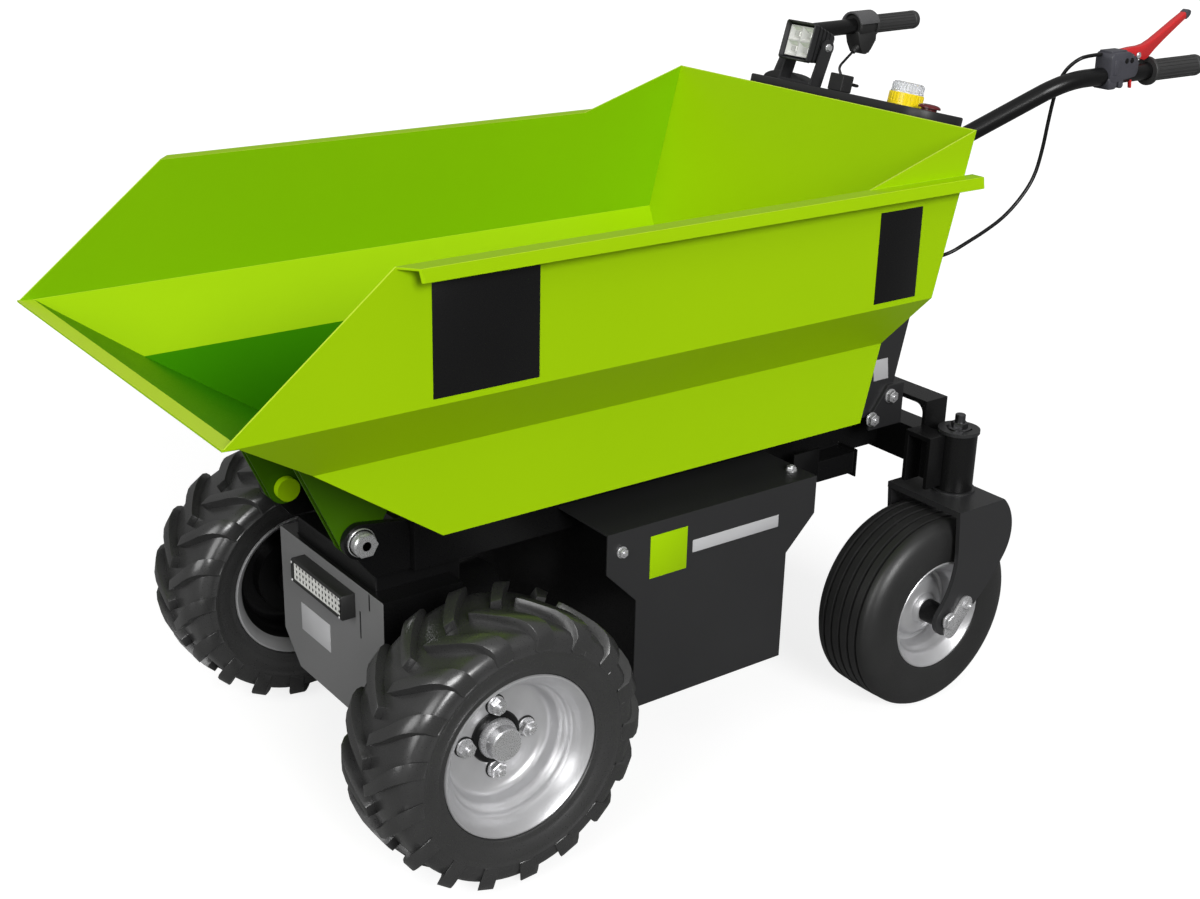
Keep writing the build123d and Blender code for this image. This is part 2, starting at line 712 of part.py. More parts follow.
lever_length = 130.0
lever_rise = 89.0
lever_cover = 4.0
heel_back = 26.0
heel_drop = 17.0
neck_run = 25.0
neck_half = 7.5
lever_tip_half = 4.5
lever_base = slot_floor + running_gap
lever_heel = Vector(bracket_rear - heel_back, bracket_top - heel_drop)
lever_tip = Vector(bracket_rear - lever_length, bracket_at.Z + lever_rise)
lever_way = (lever_tip - lever_heel).normalized()
lever_neck = lever_heel + lever_way * neck_run
lever_under = Vector(-lever_way.Y, lever_way.X)
lever_edges = [lever_heel, lever_neck + lever_under * neck_half, lever_tip + lever_under * lever_tip_half,
               lever_tip - lever_under * lever_tip_half, lever_neck - lever_under * neck_half]
lever_outline = [(bracket_rear + slot_length * 0.8, lever_base),
                 (bracket_rear + slot_length * 0.2, lever_base),
                 (bracket_rear, bracket_top - bracket_fall / 2)]
lever_outline += [(edge.X, edge.Y) for edge in lever_edges]
lever_outline += [(bracket_rear, bracket_top + lever_cover),
                  (bracket_rear + slot_length * 0.8, bracket_top + lever_cover)]
with BuildPart() as brake_lever:
    plate_y(lever_outline, bracket_at.Y - lever_half, bracket_at.Y + lever_half)
brake_lever.part.label = "brake_lever"
export_step(brake_lever.part, "parts/brake_lever.step")

# Throttle on the right bar, with its box below and the nipple for its cable
throttle_length = 46.0
throttle_radius = 24.0
throttle_half = 18.0
throttle_drop = 52.0
nipple_radius = 5.0
nipple_length = 14.0
throttle_front = grip_length + running_gap + throttle_length - handle_reach
throttle_at = bar_point(throttle_front)
throttle_plane = Plane(origin=(axle_x + throttle_at.X, -throttle_at.Y, throttle_at.Z),
                       z_dir=(grip_axis.X, -grip_axis.Y, grip_axis.Z))
nipple_slope = 36.87
nipple_way = Vector(cos(radians(nipple_slope)), 0, -sin(radians(nipple_slope)))
nipple_root = Vector(throttle_front - nipple_length / 2, throttle_half / 2 - throttle_at.Y,
                     throttle_at.Z - throttle_drop + nipple_length)
nipple_end = nipple_root + nipple_way * nipple_length
with BuildPart() as throttle:
    with BuildSketch(throttle_plane):
        Circle(throttle_radius)
    extrude(amount=throttle_length)
    block(throttle_front - throttle_length * 0.8, throttle_front, -throttle_at.Y - throttle_half,
          throttle_half - throttle_at.Y, throttle_at.Z - throttle_drop, throttle_at.Z)
    with BuildSketch(Plane(origin=nipple_root + (axle_x, 0, 0), z_dir=nipple_way)):
        Circle(nipple_radius)
    extrude(amount=nipple_length)
    with BuildSketch(throttle_plane):
        Circle(tube_radius + running_gap)
    extrude(amount=throttle_length, both=True, mode=Mode.SUBTRACT)
throttle.part.label = "throttle"
export_step(throttle.part, "parts/throttle.step")

# Lever cable from the bracket down behind the bar to the column's side, and the
# throttle cable across to its gland. Straight runs are joined by arcs as large
# as the runs allow.
lever_cable_points = [(bracket_front, 304, 1043), (-1109, 304, 1043), (-1094, 298, 1036), (-1085, 288, 1022),
                      (-1081, 280, 1003), (-1078, 276, 976), (-1074, 274, 938), (-1071, 272, 895),
                      (-1062, 270, 851), (-1036, 268, 818), (-1004, 264, 790), (-966, 260, 771),
                      (-932, 256, 757), (-900, 250, 742), (-879, 228, 732), (-879, console_half, 732)]
cable_end = on_panel(gland_rear, gland_height * 0.54) + (0, gland_y, 0)
throttle_cable_points = [tuple(nipple_end), tuple(nipple_end + nipple_way * 22), (-1162, -293, 940),
                         (-1124, -248, 936), (-1079, -198, 942), (-1034, -146, 948), (-992, -96, 952),
                         (-960, -46, 957), tuple(cable_end - panel_way * 32), tuple(cable_end)]
cables = (("lever_cable", 3.0, lever_cable_points), ("throttle_cable", 2.5, throttle_cable_points))


def cord_route(points):
    corners = [Vector(axle_x + x, y, z) for x, y, z in points]
    runs = [b - a for a, b in zip(corners, corners[1:])]
    radii = []
    for before, after in zip(runs, runs[1:]):
        turn = radians(before.get_angle(after))
        radii.append(0.45 * min(before.length, after.length) / tan(turn / 2))
    return corners, radii


for name, cable_radius, points in cables:
    corners, radii = cord_route(points)
    with BuildPart() as cable:
        with BuildLine() as cable_line:
            FilletPolyline(*corners, radius=radii)
        with BuildSketch(cable_line.line ^ 0):
            Circle(cable_radius)
        sweep()
    route_length = sum(edge.length for edge in cable_line.edges())
    print(name, "length", round(route_length))
    cable.part.label = name
    export_step(cable.part, f"parts/{name}.step")

# Wheels. Each section is a table of points: across from the wheel's middle, radius.
# Tyres are flat-faced rings whose flats touch the ground.
front_facets = 2 * lugs_per_side
front_seat = front_rim_half - 4.5
front_ply = front_radius - lug_height
front_half = front_width / 2
front_carcass = ((front_seat, front_flange_radius + 1), (front_half, front_radius * 0.76),
                 (front_half * 0.92, front_ply))
front_reach = ((front_half + 1, front_radius * 0.85), (front_half + 1, front_radius * 0.91),
               (front_half * 0.8, front_radius))
caster_facets = 32
caster_seat = caster_rim_half - 3.5
caster_half = caster_width / 2
caster_carcass = ((caster_seat, caster_flange_radius + 1), (caster_half, caster_radius * 0.8),
                  (caster_half * 0.9, caster_radius * 0.94), (caster_half * 0.7, caster_radius))


def wheel_plane(x, y, z):
    return Plane(origin=(axle_x + x, y, z), x_dir=(0, 0, -1), z_dir=(0, 1, 0))


def corner(middle, across, radius, facets, step):
    angle = 2 * pi * (step + 0.5) / facets
    reach = radius / cos(pi / facets)
    return middle.from_local_coords((reach * cos(angle), reach * sin(angle), across))


def faceted_ring(middle, half_table, facets, bore):
    stations = list(half_table) + [(-across, radius) for across, radius in reversed(half_table)]
    loop = stations + [(-half_table[0][0], bore), (half_table[0][0], bore)]
    walls = []
    for (across, radius), (next_across, next_radius) in zip(loop, loop[1:] + loop[:1]):
        for step in range(facets):
            near = [corner(middle, across, radius, facets, step + turn) for turn in (0, 1)]
            far = [corner(middle, next_across, next_radius, facets, step + turn) for turn in (1, 0)]
            walls.append(Face(Wire.make_polygon(near + far)))
    with BuildPart() as ring:
        add(Solid(Shell(walls)))
    return ring


def wheel_revolve(middle, section):
    with BuildSketch(Plane(origin=middle.origin, x_dir=(0, 1, 0), z_dir=(1, 0, 0))) as outline:
        with BuildLine() as edges:
            Polyline(*section, close=True)
        make_face(edges.edges())
    revolve(outline.sketch, axis=Axis(middle.origin, (0, 1, 0)))


def rim_section(half, flange, bead, wall, well_half, well_depth, web):
    outer = [(half, flange), (half - wall, flange), (half - wall, bead), (well_half + well_depth, bead),
             (well_half, bead - well_depth)]
    inner = [(well_half - wall / 2, bead - well_depth - wall),
             (well_half + well_depth - wall / 2, bead - wall), (half - wall, bead - wall), (half, bead)]
    far_outer = [(-across, radius) for across, radius in reversed(outer)]
    far_inner = [(-across, radius) for across, radius in reversed(inner)]
    return outer + far_outer + far_inner + web + inner


# Front tyres. A lug runs from the tread's middle to the shoulder: along the
# tread, across from the middle
lug_outline = ((-44, 2), (-22, 2), (48, front_half + 1), (20, front_half + 1))
front_middle = wheel_plane(0, front_track_half, front_radius)
front_carcass_ring = faceted_ring(front_middle, front_carcass, front_facets, front_bead_radius + running_gap)
front_reach_ring = faceted_ring(front_middle, front_reach, front_facets, front_bead_radius)
with BuildPart() as front_tyre:
    for step in range(front_facets):
        lug_side = 1 if step % 2 else -1
        angle = radians(360 / front_facets * step)
        outward = Vector(cos(angle), 0, sin(angle))
        along = Vector(-sin(angle), 0, cos(angle))
        with BuildSketch(Plane(origin=front_middle.origin + outward * (front_ply - lug_height), x_dir=along,
                               z_dir=outward)) as foot:
            with BuildLine():
                Polyline(*[(u, lug_side * w) for u, w in lug_outline], close=True)
            make_face()
        extrude(foot.sketch, amount=3 * lug_height)
    add(front_reach_ring.part, mode=Mode.INTERSECT)
    add(front_carcass_ring.part)

front_well_half = 32.0
front_well_depth = 9.0
front_wall = 4.0
front_disc = -10.0
disc_thickness = 6.0
hub_bore = 30.0
flange_plate_radius = 62.0
flange_plate = 14.0
hub_boss = 18.0
hub_cap_radius = 19.0
hub_cap = 12.0
for name, hand in hands:
    y = hand * front_track_half
    tyre = front_tyre if hand > 0 else mirrored(front_tyre)
    tyre.part.label = f"front_{name}_tyre"
    export_step(tyre.part, f"parts/front_{name}_tyre.step")

    disc_low = hand * front_disc - disc_thickness / 2
    disc_high = hand * front_disc + disc_thickness / 2
    well_radius = front_bead_radius - front_well_depth - front_wall
    web = [(disc_low, well_radius), (disc_low, hub_bore), (disc_high, hub_bore), (disc_high, well_radius)]
    with BuildPart() as rim:
        wheel_revolve(wheel_plane(0, y, front_radius), rim_section(
            front_rim_half, front_flange_radius, front_bead_radius, front_wall, front_well_half,
            front_well_depth, web))
    rim.part.label = f"front_{name}_rim"
    export_step(rim.part, f"parts/front_{name}_rim.step")

    disc_back = y + hand * (front_disc - disc_thickness / 2)
    boss_end = disc_back + hand * hub_boss
    with BuildPart() as hub:
        disc_y(0, front_radius, flange_plate_radius, disc_back - hand * flange_plate, disc_back)
        disc_y(0, front_radius, hub_bore - running_gap, disc_back, boss_end)
        disc_y(0, front_radius, hub_cap_radius, boss_end, boss_end + hand * hub_cap)
        disc_y(0, front_radius, stub_radius, disc_back - hand * flange_plate,
               hand * (axle_tube_end - stub_depth + 2))
    hub.part.label = f"front_{name}_hub"
    export_step(hub.part, f"parts/front_{name}_hub.step")

# Casters: bent fork with its stem, axle, tyre and rim
fork_inner = 72.0
fork_plate = 8.0
fork_top = 355.0
fork_crown = 10.0
axle_boss = 27.0
fork_toe = swivel_x + 69
fork_heel = swivel_x - 36
toe = (fork_toe, fork_top)
heel = (fork_heel, fork_top)
bulge = (fork_heel - 26, fork_top - 49)
waist = (fork_heel - 11, fork_top - 108)
hollow = (fork_heel + 22, fork_top - 152)
tail = (caster_x - axle_boss * 0.74, caster_radius - axle_boss * 0.67)
chin = (caster_x + axle_boss * 0.78, caster_radius + axle_boss * 0.62)
throat = (fork_toe - 1, fork_top - 124)
brow = (fork_toe - 6, fork_top - 70)
fork_half = fork_inner + fork_plate
thrust_radius = 36.0
cap_radius = 34.0
cap_height = 6.0
stem_nut = 22.0
stem_nut_height = 16.0
stem_rise = 30.0
axle_nut_radius = 17.0
axle_nut_height = 10.0
caster_well_half = 26.0
caster_well_depth = 7.0
caster_wall = 3.0
caster_boss = 24.0
boss_half = fork_inner - 1
caster_bore = caster_axle_radius + running_gap
caster_well = caster_bead_radius - caster_well_depth - caster_wall
half_web = [(disc_thickness / 2, caster_well), (disc_thickness / 2, caster_boss), (boss_half, caster_boss),
            (boss_half, caster_bore)]
caster_web = [(-across, radius) for across, radius in half_web] + list(reversed(half_web))
for name, hand in hands:
    y = hand * swivel_y
    middle = wheel_plane(caster_x, y, caster_radius)
    with BuildPart() as fork:
        for y_from in (y - fork_half, y + fork_inner):
            with BuildSketch(side_plane(y_from)):
                with BuildLine():
                    Line(toe, heel)
                    ThreePointArc(heel, bulge, waist)
                    ThreePointArc(waist, hollow, tail)
                    Line(tail, chin)
                    ThreePointArc(chin, throat, brow)
                    Line(brow, toe)
                make_face()
            extrude(amount=-fork_plate)
            disc_y(caster_x, caster_radius, axle_boss, y_from, y_from + fork_plate)
        disc_y(caster_x, caster_radius, caster_axle_radius + running_gap, y - fork_half, y + fork_half,
               Mode.SUBTRACT)
        block(fork_heel, fork_toe, y - fork_half, y + fork_half, fork_top - fork_crown, fork_top)
        disc_z(swivel_x, y, thrust_radius, fork_top, swivel_bottom - running_gap)
        disc_z(swivel_x, y, stem_radius, fork_top, swivel_top + stem_rise)
        disc_z(swivel_x, y, cap_radius, swivel_top + running_gap, swivel_top + cap_height)
        with BuildSketch(Plane.XY.offset(swivel_top + cap_height)):
            with Locations((axle_x + swivel_x, y)):
                RegularPolygon(stem_nut, 6)
        extrude(amount=stem_nut_height)
    fork.part.label = f"caster_{name}_fork"
    export_step(fork.part, f"parts/caster_{name}_fork.step")

    with BuildPart() as axle:
        disc_y(caster_x, caster_radius, caster_axle_radius, y - fork_half - axle_nut_height - 2,
               y + fork_half + axle_nut_height + 2)
        disc_y(caster_x, caster_radius, axle_nut_radius, y - fork_half - axle_nut_height, y - fork_half)
        disc_y(caster_x, caster_radius, axle_nut_radius, y + fork_half, y + fork_half + axle_nut_height)
    axle.part.label = f"caster_{name}_axle"
    export_step(axle.part, f"parts/caster_{name}_axle.step")

    tyre = faceted_ring(middle, caster_carcass, caster_facets, caster_bead_radius + running_gap)
    tyre.part.label = f"caster_{name}_tyre"
    export_step(tyre.part, f"parts/caster_{name}_tyre.step")

    with BuildPart() as rim:
        wheel_revolve(middle, rim_section(caster_rim_half, caster_flange_radius, caster_bead_radius,
                                          caster_wall, caster_well_half, caster_well_depth, caster_web))
    rim.part.label = f"caster_{name}_rim"
    export_step(rim.part, f"parts/caster_{name}_rim.step")
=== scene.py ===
import json
import math

import bmesh
import bpy
from mathutils import Matrix, Vector

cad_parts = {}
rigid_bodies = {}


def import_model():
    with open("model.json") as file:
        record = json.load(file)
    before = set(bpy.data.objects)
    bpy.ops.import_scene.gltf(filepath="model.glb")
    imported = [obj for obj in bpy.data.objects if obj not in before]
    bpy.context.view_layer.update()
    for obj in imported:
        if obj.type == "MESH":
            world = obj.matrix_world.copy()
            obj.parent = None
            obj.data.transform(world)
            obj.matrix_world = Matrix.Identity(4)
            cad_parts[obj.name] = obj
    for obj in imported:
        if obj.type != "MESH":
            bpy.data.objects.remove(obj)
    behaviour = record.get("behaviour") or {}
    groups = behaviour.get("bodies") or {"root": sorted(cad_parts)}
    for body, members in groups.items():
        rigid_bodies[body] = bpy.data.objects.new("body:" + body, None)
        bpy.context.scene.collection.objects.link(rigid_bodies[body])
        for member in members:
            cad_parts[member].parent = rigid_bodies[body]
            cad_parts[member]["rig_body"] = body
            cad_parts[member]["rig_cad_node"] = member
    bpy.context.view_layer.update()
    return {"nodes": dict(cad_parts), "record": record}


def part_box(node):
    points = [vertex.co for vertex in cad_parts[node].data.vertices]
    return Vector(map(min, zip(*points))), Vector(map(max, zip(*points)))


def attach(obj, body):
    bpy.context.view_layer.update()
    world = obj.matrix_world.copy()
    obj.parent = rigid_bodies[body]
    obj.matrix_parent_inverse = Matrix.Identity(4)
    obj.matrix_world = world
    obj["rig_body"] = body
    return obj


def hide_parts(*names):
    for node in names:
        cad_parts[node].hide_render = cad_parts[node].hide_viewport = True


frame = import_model()
nodes = frame["nodes"]
axleX = sum(corner.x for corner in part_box("front_left_rim")) / 2  # the front axle's place along the machine
print("frame loaded,", len(nodes), "nodes")


def at(x, y, z):  # millimetres from the front axle, the middle and the ground
    return Vector((axleX + x / 1000, y / 1000, z / 1000))


# Camera as the photograph was taken
cameraLook = {"place": (1.5767, 1.9772, 1.4152), "yaw": -126.823, "pitch": 21.695, "roll": 1.379,
              "sensor": 36, "lens": 49.887}


def makeCamera(look):
    yaw, pitch, roll = (math.radians(look[turn]) for turn in ("yaw", "pitch", "roll"))
    ahead = Vector((math.cos(yaw) * math.cos(pitch), math.sin(yaw) * math.cos(pitch), -math.sin(pitch)))
    right = Vector((math.sin(yaw), -math.cos(yaw), 0))
    up = right.cross(ahead)
    rolledRight = math.cos(roll) * right + math.sin(roll) * up
    rolledUp = math.cos(roll) * up - math.sin(roll) * right
    bpy.ops.object.camera_add(location=look["place"])
    camera = bpy.context.object
    turned = Matrix((rolledRight, rolledUp, -ahead)).transposed().to_4x4()
    camera.matrix_world = Matrix.Translation(look["place"]) @ turned
    camera.data.sensor_width = look["sensor"]
    camera.data.lens = look["lens"]
    bpy.context.scene.camera = camera


makeCamera(cameraLook)


def setSockets(node, values):
    for socket, value in values.items():
        node.inputs[socket].default_value = value


# Shared shader group, which puts out values only: fine and broad mottling of a painted, cast or moulded surface
def makeGrainGroup():
    group = bpy.data.node_groups.new("surfaceGrain", "ShaderNodeTree")
    group.interface.new_socket("Vector", in_out="INPUT", socket_type="NodeSocketVector")
    for name in ("Fine", "Broad"):
        group.interface.new_socket(name + " Scale", in_out="INPUT", socket_type="NodeSocketFloat")
        group.interface.new_socket(name, in_out="OUTPUT", socket_type="NodeSocketFloat")
    start, end = group.nodes.new("NodeGroupInput"), group.nodes.new("NodeGroupOutput")
    for name, detail in (("Fine", 3.0), ("Broad", 4.0)):
        noise = group.nodes.new("ShaderNodeTexNoise")
        noise.inputs["Detail"].default_value = detail
        group.links.new(start.outputs["Vector"], noise.inputs["Vector"])
        group.links.new(start.outputs[name + " Scale"], noise.inputs["Scale"])
        group.links.new(noise.outputs["Fac"], end.inputs[name])
    return group


grainGroup = makeGrainGroup()

# Finishes: colours, roughness, grain scales, bump strength and distance, and plain shader sockets
plainLook = {"fine": 900.0, "broad": 20.0, "bump": (0.06, 0.0003), "sockets": {}}  # unless a finish says otherwise
greenLook = {"rough": (0.34, 0.42), "fine": 420.0, "broad": 5.0, "bump": (0.05, 0.0004),
             "sockets": {"Specular IOR Level": 0.10}}
finishLooks = {
    "green_paint": {**greenLook, "dark": (0.310, 0.540, 0.0008), "light": (0.332, 0.562, 0.0012)},
    "black_paint": {"dark": (0.017, 0.017, 0.018), "light": (0.023, 0.023, 0.024), "rough": (0.32, 0.42),
                    "broad": 9.0, "bump": (0.10, 0.0003)},
    "black_plastic": {"dark": (0.010, 0.010, 0.010), "light": (0.017, 0.017, 0.017), "rough": (0.42, 0.55),
                      "fine": 1500.0, "broad": 14.0, "bump": (0.18, 0.0003)},
    "lamp_body": {"dark": (0.010, 0.010, 0.011), "light": (0.018, 0.018, 0.019), "rough": (0.40, 0.52),
                  "fine": 1300.0, "bump": (0.14, 0.0003)},
    "cast_grey": {"dark": (0.012, 0.012, 0.013), "light": (0.022, 0.022, 0.023), "rough": (0.55, 0.7),
                  "fine": 500.0, "broad": 18.0, "bump": (0.30, 0.0008)},
    "bolt_steel": {"dark": (0.52, 0.52, 0.53), "light": (0.74, 0.74, 0.75), "rough": (0.24, 0.34),
                   "fine": 700.0, "broad": 40.0, "bump": (0.05, 0.0002), "sockets": {"Metallic": 0.7}},
    "rim_steel": {"dark": (0.46, 0.46, 0.47), "light": (0.68, 0.68, 0.69), "rough": (0.30, 0.40),
                  "fine": 800.0, "broad": 14.0, "bump": (0.04, 0.0003), "sockets": {"Metallic": 0.6}},
    "tyre_rubber": {"dark": (0.020, 0.020, 0.020), "light": (0.034, 0.034, 0.034), "rough": (0.26, 0.38),
                    "fine": 450.0, "broad": 16.0, "bump": (0.14, 0.0006),
                    "sockets": {"Specular IOR Level": 0.7, "Coat Weight": 0.35, "Coat Roughness": 0.22}},
    "rest_rubber": {"dark": (0.024, 0.024, 0.024), "light": (0.036, 0.036, 0.036), "rough": (0.45, 0.6),
                    "bump": (0.20, 0.0004)},
    "red_plastic": {"dark": (0.52, 0.016, 0.018), "light": (0.60, 0.024, 0.026), "rough": (0.28, 0.38)},
    "amber_plastic": {"dark": (0.76, 0.58, 0.008), "light": (0.84, 0.66, 0.012), "rough": (0.16, 0.24),
                      "fine": 700.0, "bump": (0.04, 0.0003)},
    "clear_lens": {"dark": (0.86, 0.87, 0.90), "light": (0.95, 0.96, 0.98), "rough": (0.08, 0.14),
                   "fine": 500.0, "bump": (0.03, 0.0003), "sockets": {"Transmission Weight": 0.6, "IOR": 1.45}},
    # finishes of single pieces, beside the slots
    # the frame's own black, also used as painted shade on wheel backs, the front cover's returns, its slot strips and
    # the lever casting's recesses
    "frameBlackAndShade": {"dark": (0.0035, 0.0035, 0.0037), "light": (0.006, 0.006, 0.0062), "rough": (0.26, 0.34),
                   "broad": 9.0, "bump": (0.08, 0.0003), "sockets": {"Specular IOR Level": 0.3}},
    # painted reflection: a lighter grey on the black front cover's front face, for the light it reflects
    "coverPaintedReflection": {"dark": (0.150, 0.150, 0.151), "light": (0.180, 0.180, 0.182), "rough": (0.34, 0.44),
                  "broad": 7.0, "bump": (0.10, 0.0003)},
    "casterRubber": {"dark": (0.012, 0.012, 0.012), "light": (0.022, 0.022, 0.022), "rough": (0.34, 0.48),
                     "fine": 450.0, "broad": 16.0, "bump": (0.20, 0.0006)},
    "greyCasting": {"dark": (0.036, 0.036, 0.045), "light": (0.070, 0.070, 0.084), "rough": (0.30, 0.44),
                    "broad": 30.0, "bump": (0.16, 0.0004)},
    "glossCover": {"dark": (0.060, 0.060, 0.062), "light": (0.090, 0.090, 0.092), "rough": (0.18, 0.28),
                   "broad": 30.0},
    "darkSteel": {"dark": (0.10, 0.10, 0.105), "light": (0.17, 0.17, 0.175), "rough": (0.26, 0.38),
                  "broad": 40.0, "bump": (0.08, 0.0003), "sockets": {"Metallic": 1.0}},
    "reflector": {"dark": (0.72, 0.72, 0.69), "light": (0.90, 0.90, 0.87), "rough": (0.16, 0.26),
                  "fine": 700.0, "broad": 60.0, "bump": (0.05, 0.0003), "sockets": {"Metallic": 0.45}},
    "darkRed": {"dark": (0.085, 0.006, 0.009), "light": (0.11, 0.009, 0.012), "rough": (0.26, 0.34)},
    "paleSteel": {"dark": (0.42, 0.42, 0.43), "light": (0.50, 0.50, 0.51), "rough": (0.45, 0.55)},
    # painted shade and painted highlight: the same paint, darker where the tub shades itself and lighter on its thin
    # top edges
    "greenPaintedShade": {**greenLook, "dark": (0.185, 0.425, 0.0005), "light": (0.205, 0.445, 0.0008)},
    "greenEdge": {**greenLook, "dark": (0.48, 0.68, 0.016), "light": (0.54, 0.74, 0.024), "sockets": {}},
    "greenDeep": {**greenLook, "dark": (0.036, 0.235, 0.0003), "light": (0.050, 0.270, 0.0004)},
    # painted shade: a dark green for the ribs under the tub
    "greenUnderPaintedShade": {**greenLook, "dark": (0.036, 0.110, 0.0010), "light": (0.050, 0.135, 0.0014)},
}


def makeFinish(name, look):
    material = bpy.data.materials.new(name)
    material.use_nodes = True
    tree = material.node_tree
    link = tree.links.new
    shader = tree.nodes["Principled BSDF"]
    place = tree.nodes.new("ShaderNodeTexCoord")
    grain = tree.nodes.new("ShaderNodeGroup")
    grain.node_tree = grainGroup
    setSockets(grain, {"Fine Scale": look["fine"], "Broad Scale": look["broad"]})
    link(place.outputs["Object"], grain.inputs["Vector"])
    tint = tree.nodes.new("ShaderNodeMix")
    tint.data_type = "RGBA"
    setSockets(tint, {6: (*look["dark"], 1), 7: (*look["light"], 1)})
    link(grain.outputs["Broad"], tint.inputs[0])
    link(tint.outputs[2], shader.inputs["Base Color"])
    smooth, coarse = look["rough"]
    rough = tree.nodes.new("ShaderNodeMapRange")
    setSockets(rough, {"From Min": 0.3, "From Max": 0.7, "To Min": smooth, "To Max": coarse})
    link(grain.outputs["Fine"], rough.inputs["Value"])
    link(rough.outputs["Result"], shader.inputs["Roughness"])
    strength, distance = look["bump"]
    bump = tree.nodes.new("ShaderNodeBump")
    setSockets(bump, {"Strength": strength, "Distance": distance})
    link(grain.outputs["Fine"], bump.inputs["Height"])
    link(bump.outputs["Normal"], shader.inputs["Normal"])
    setSockets(shader, look["sockets"])
    return material


finishes = {name: makeFinish(name + "Finish", {**plainLook, **look}) for name, look in finishLooks.items()}
slotOf = {row["node"]: row["material_slot"] for row in frame["record"]["subparts"]}
finishOf = dict.fromkeys(("frame_rails", "front_cross_tube", "pivot_ears", "rear_beam", "swivel_tubes", "rear_hoop",
                          "handlebars", "drive_housing", "drive_motor", "axle_tubes", "battery_tray"), "frameBlackAndShade")
# the front cover's lighter grey is a painted reflection; the ribs' dark green is painted shade
finishOf.update(front_cover="coverPaintedReflection", tub_ribs="greenUnderPaintedShade")  # nodes with a finish of their own
print("finishes made,", len(finishes))

# Cables, by the route's points in millimetres
cables = {
    "lever_cable": {"diameter": 0.006, "length": 0.514, "points": (
        (-1146, 304, 1043), (-1109, 304, 1043), (-1094, 298, 1036), (-1085, 288, 1022), (-1081, 280, 1003),
        (-1078, 276, 976), (-1074, 274, 938), (-1071, 272, 895), (-1062, 270, 851), (-1036, 268, 818),
        (-1004, 264, 790), (-966, 260, 771), (-932, 256, 757), (-900, 250, 742), (-879, 228, 732),
        (-879, 190, 732))},
    "throttle_cable": {"diameter": 0.005, "length": 0.438, "points": (
        (-1203.5, -301.9, 963.4), (-1185.9, -301.9, 950.2), (-1162, -293, 940), (-1124, -248, 936),
        (-1079, -198, 942), (-1034, -146, 948), (-992, -96, 952), (-960, -46, 957), (-938.0, -14, 963.4),
        (-906.8, -14, 970.6))},
}


def makeCable(node, look):
    route = [at(*point) for point in look["points"]]
    line = bpy.data.curves.new(node + "Line", "CURVE")
    line.dimensions = "3D"
    spline = line.splines.new("NURBS")
    spline.points.add(len(route) - 1)
    for target, point in zip(spline.points, route):
        target.co = (*point, 1)
    spline.order_u = 3
    spline.use_endpoint_u = True
    spline.resolution_u = 8
    line.bevel_depth = look["diameter"] / 2
    line.bevel_resolution = 3
    line.use_fill_caps = True
    cable = bpy.data.objects.new(node + "Sleeve", line)
    bpy.context.scene.collection.objects.link(cable)
    line.materials.append(finishes["frameBlackAndShade"])
    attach(cable, "chassis")
    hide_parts(node)


for node, look in cables.items():
    makeCable(node, look)
print("cables laid")


# Modelling helpers
mergeWithin = 0.00001  # metres
facing = 0.95  # how straight a chosen face looks along a direction


def deselect():
    if bpy.context.object and bpy.context.object.mode != "OBJECT":
        bpy.ops.object.mode_set(mode="OBJECT")
    bpy.ops.object.select_all(action="DESELECT")


def pick(piece):
    deselect()
    piece.select_set(True)
    bpy.context.view_layer.objects.active = piece


def edit(piece, kind="FACE", everything=False):
    pick(piece)
    bpy.ops.object.mode_set(mode="EDIT")
    bpy.ops.mesh.select_mode(type=kind)
    bpy.ops.mesh.select_all(action="SELECT" if everything else "DESELECT")


def leaveEdit():
    bpy.ops.object.mode_set(mode="OBJECT")


def chooseFaces(piece, test):
    mesh = bmesh.from_edit_mesh(piece.data)
    for face in mesh.faces:
        if test(face.calc_center_median(), face.normal):
            face.select_set(True)
    bmesh.update_edit_mesh(piece.data)


def shape(piece, kind, **settings):
    pick(piece)
    modifier = piece.modifiers.new(kind.lower(), kind)
    for key, value in settings.items():
        setattr(modifier, key, value)
    bpy.ops.object.modifier_apply(modifier=modifier.name)


def roundEdges(piece, width, angle=30):
    shape(piece, "BEVEL", width=width, segments=2, limit_method="ANGLE", angle_limit=math.radians(angle))


def mergeUp(piece):
    edit(piece, "VERT", everything=True)
    bpy.ops.mesh.remove_doubles(threshold=mergeWithin)
    bpy.ops.mesh.normals_make_consistent(inside=False)
    leaveEdit()


def drawLine(name, points):  # a line of points, extruded from one vertex
    deselect()
    bpy.ops.mesh.primitive_plane_add(size=0.01)
    piece = bpy.context.object
    piece.name = name
    edit(piece, "VERT", everything=True)
    bpy.ops.mesh.merge(type="CENTER")
    bpy.ops.transform.translate(value=points[0])
    for before, after in zip(points, points[1:]):
        bpy.ops.mesh.extrude_vertices_move(TRANSFORM_OT_translate={"value": after - before})
    return piece


def lathe(name, profile, centre, axis=(0, 1, 0), steps=64):  # profile of (along, radius) in mm
    along = Vector(axis)
    outward = Vector((0, 0, 1)) if abs(along.z) < 0.5 else Vector((1, 0, 0))
    outward = (outward - along * outward.dot(along)).normalized()
    closed = profile[-1][1] > 0  # a profile that ends on its axis stays open
    loop = [*profile, profile[0]] if closed else profile
    piece = drawLine(name, [centre + along * (a / 1000) + outward * (r / 1000) for a, r in loop])
    bpy.ops.mesh.select_all(action="SELECT")
    bpy.ops.mesh.spin(steps=steps, angle=2 * math.pi, center=centre, axis=along)
    mergeUp(piece)
    return piece


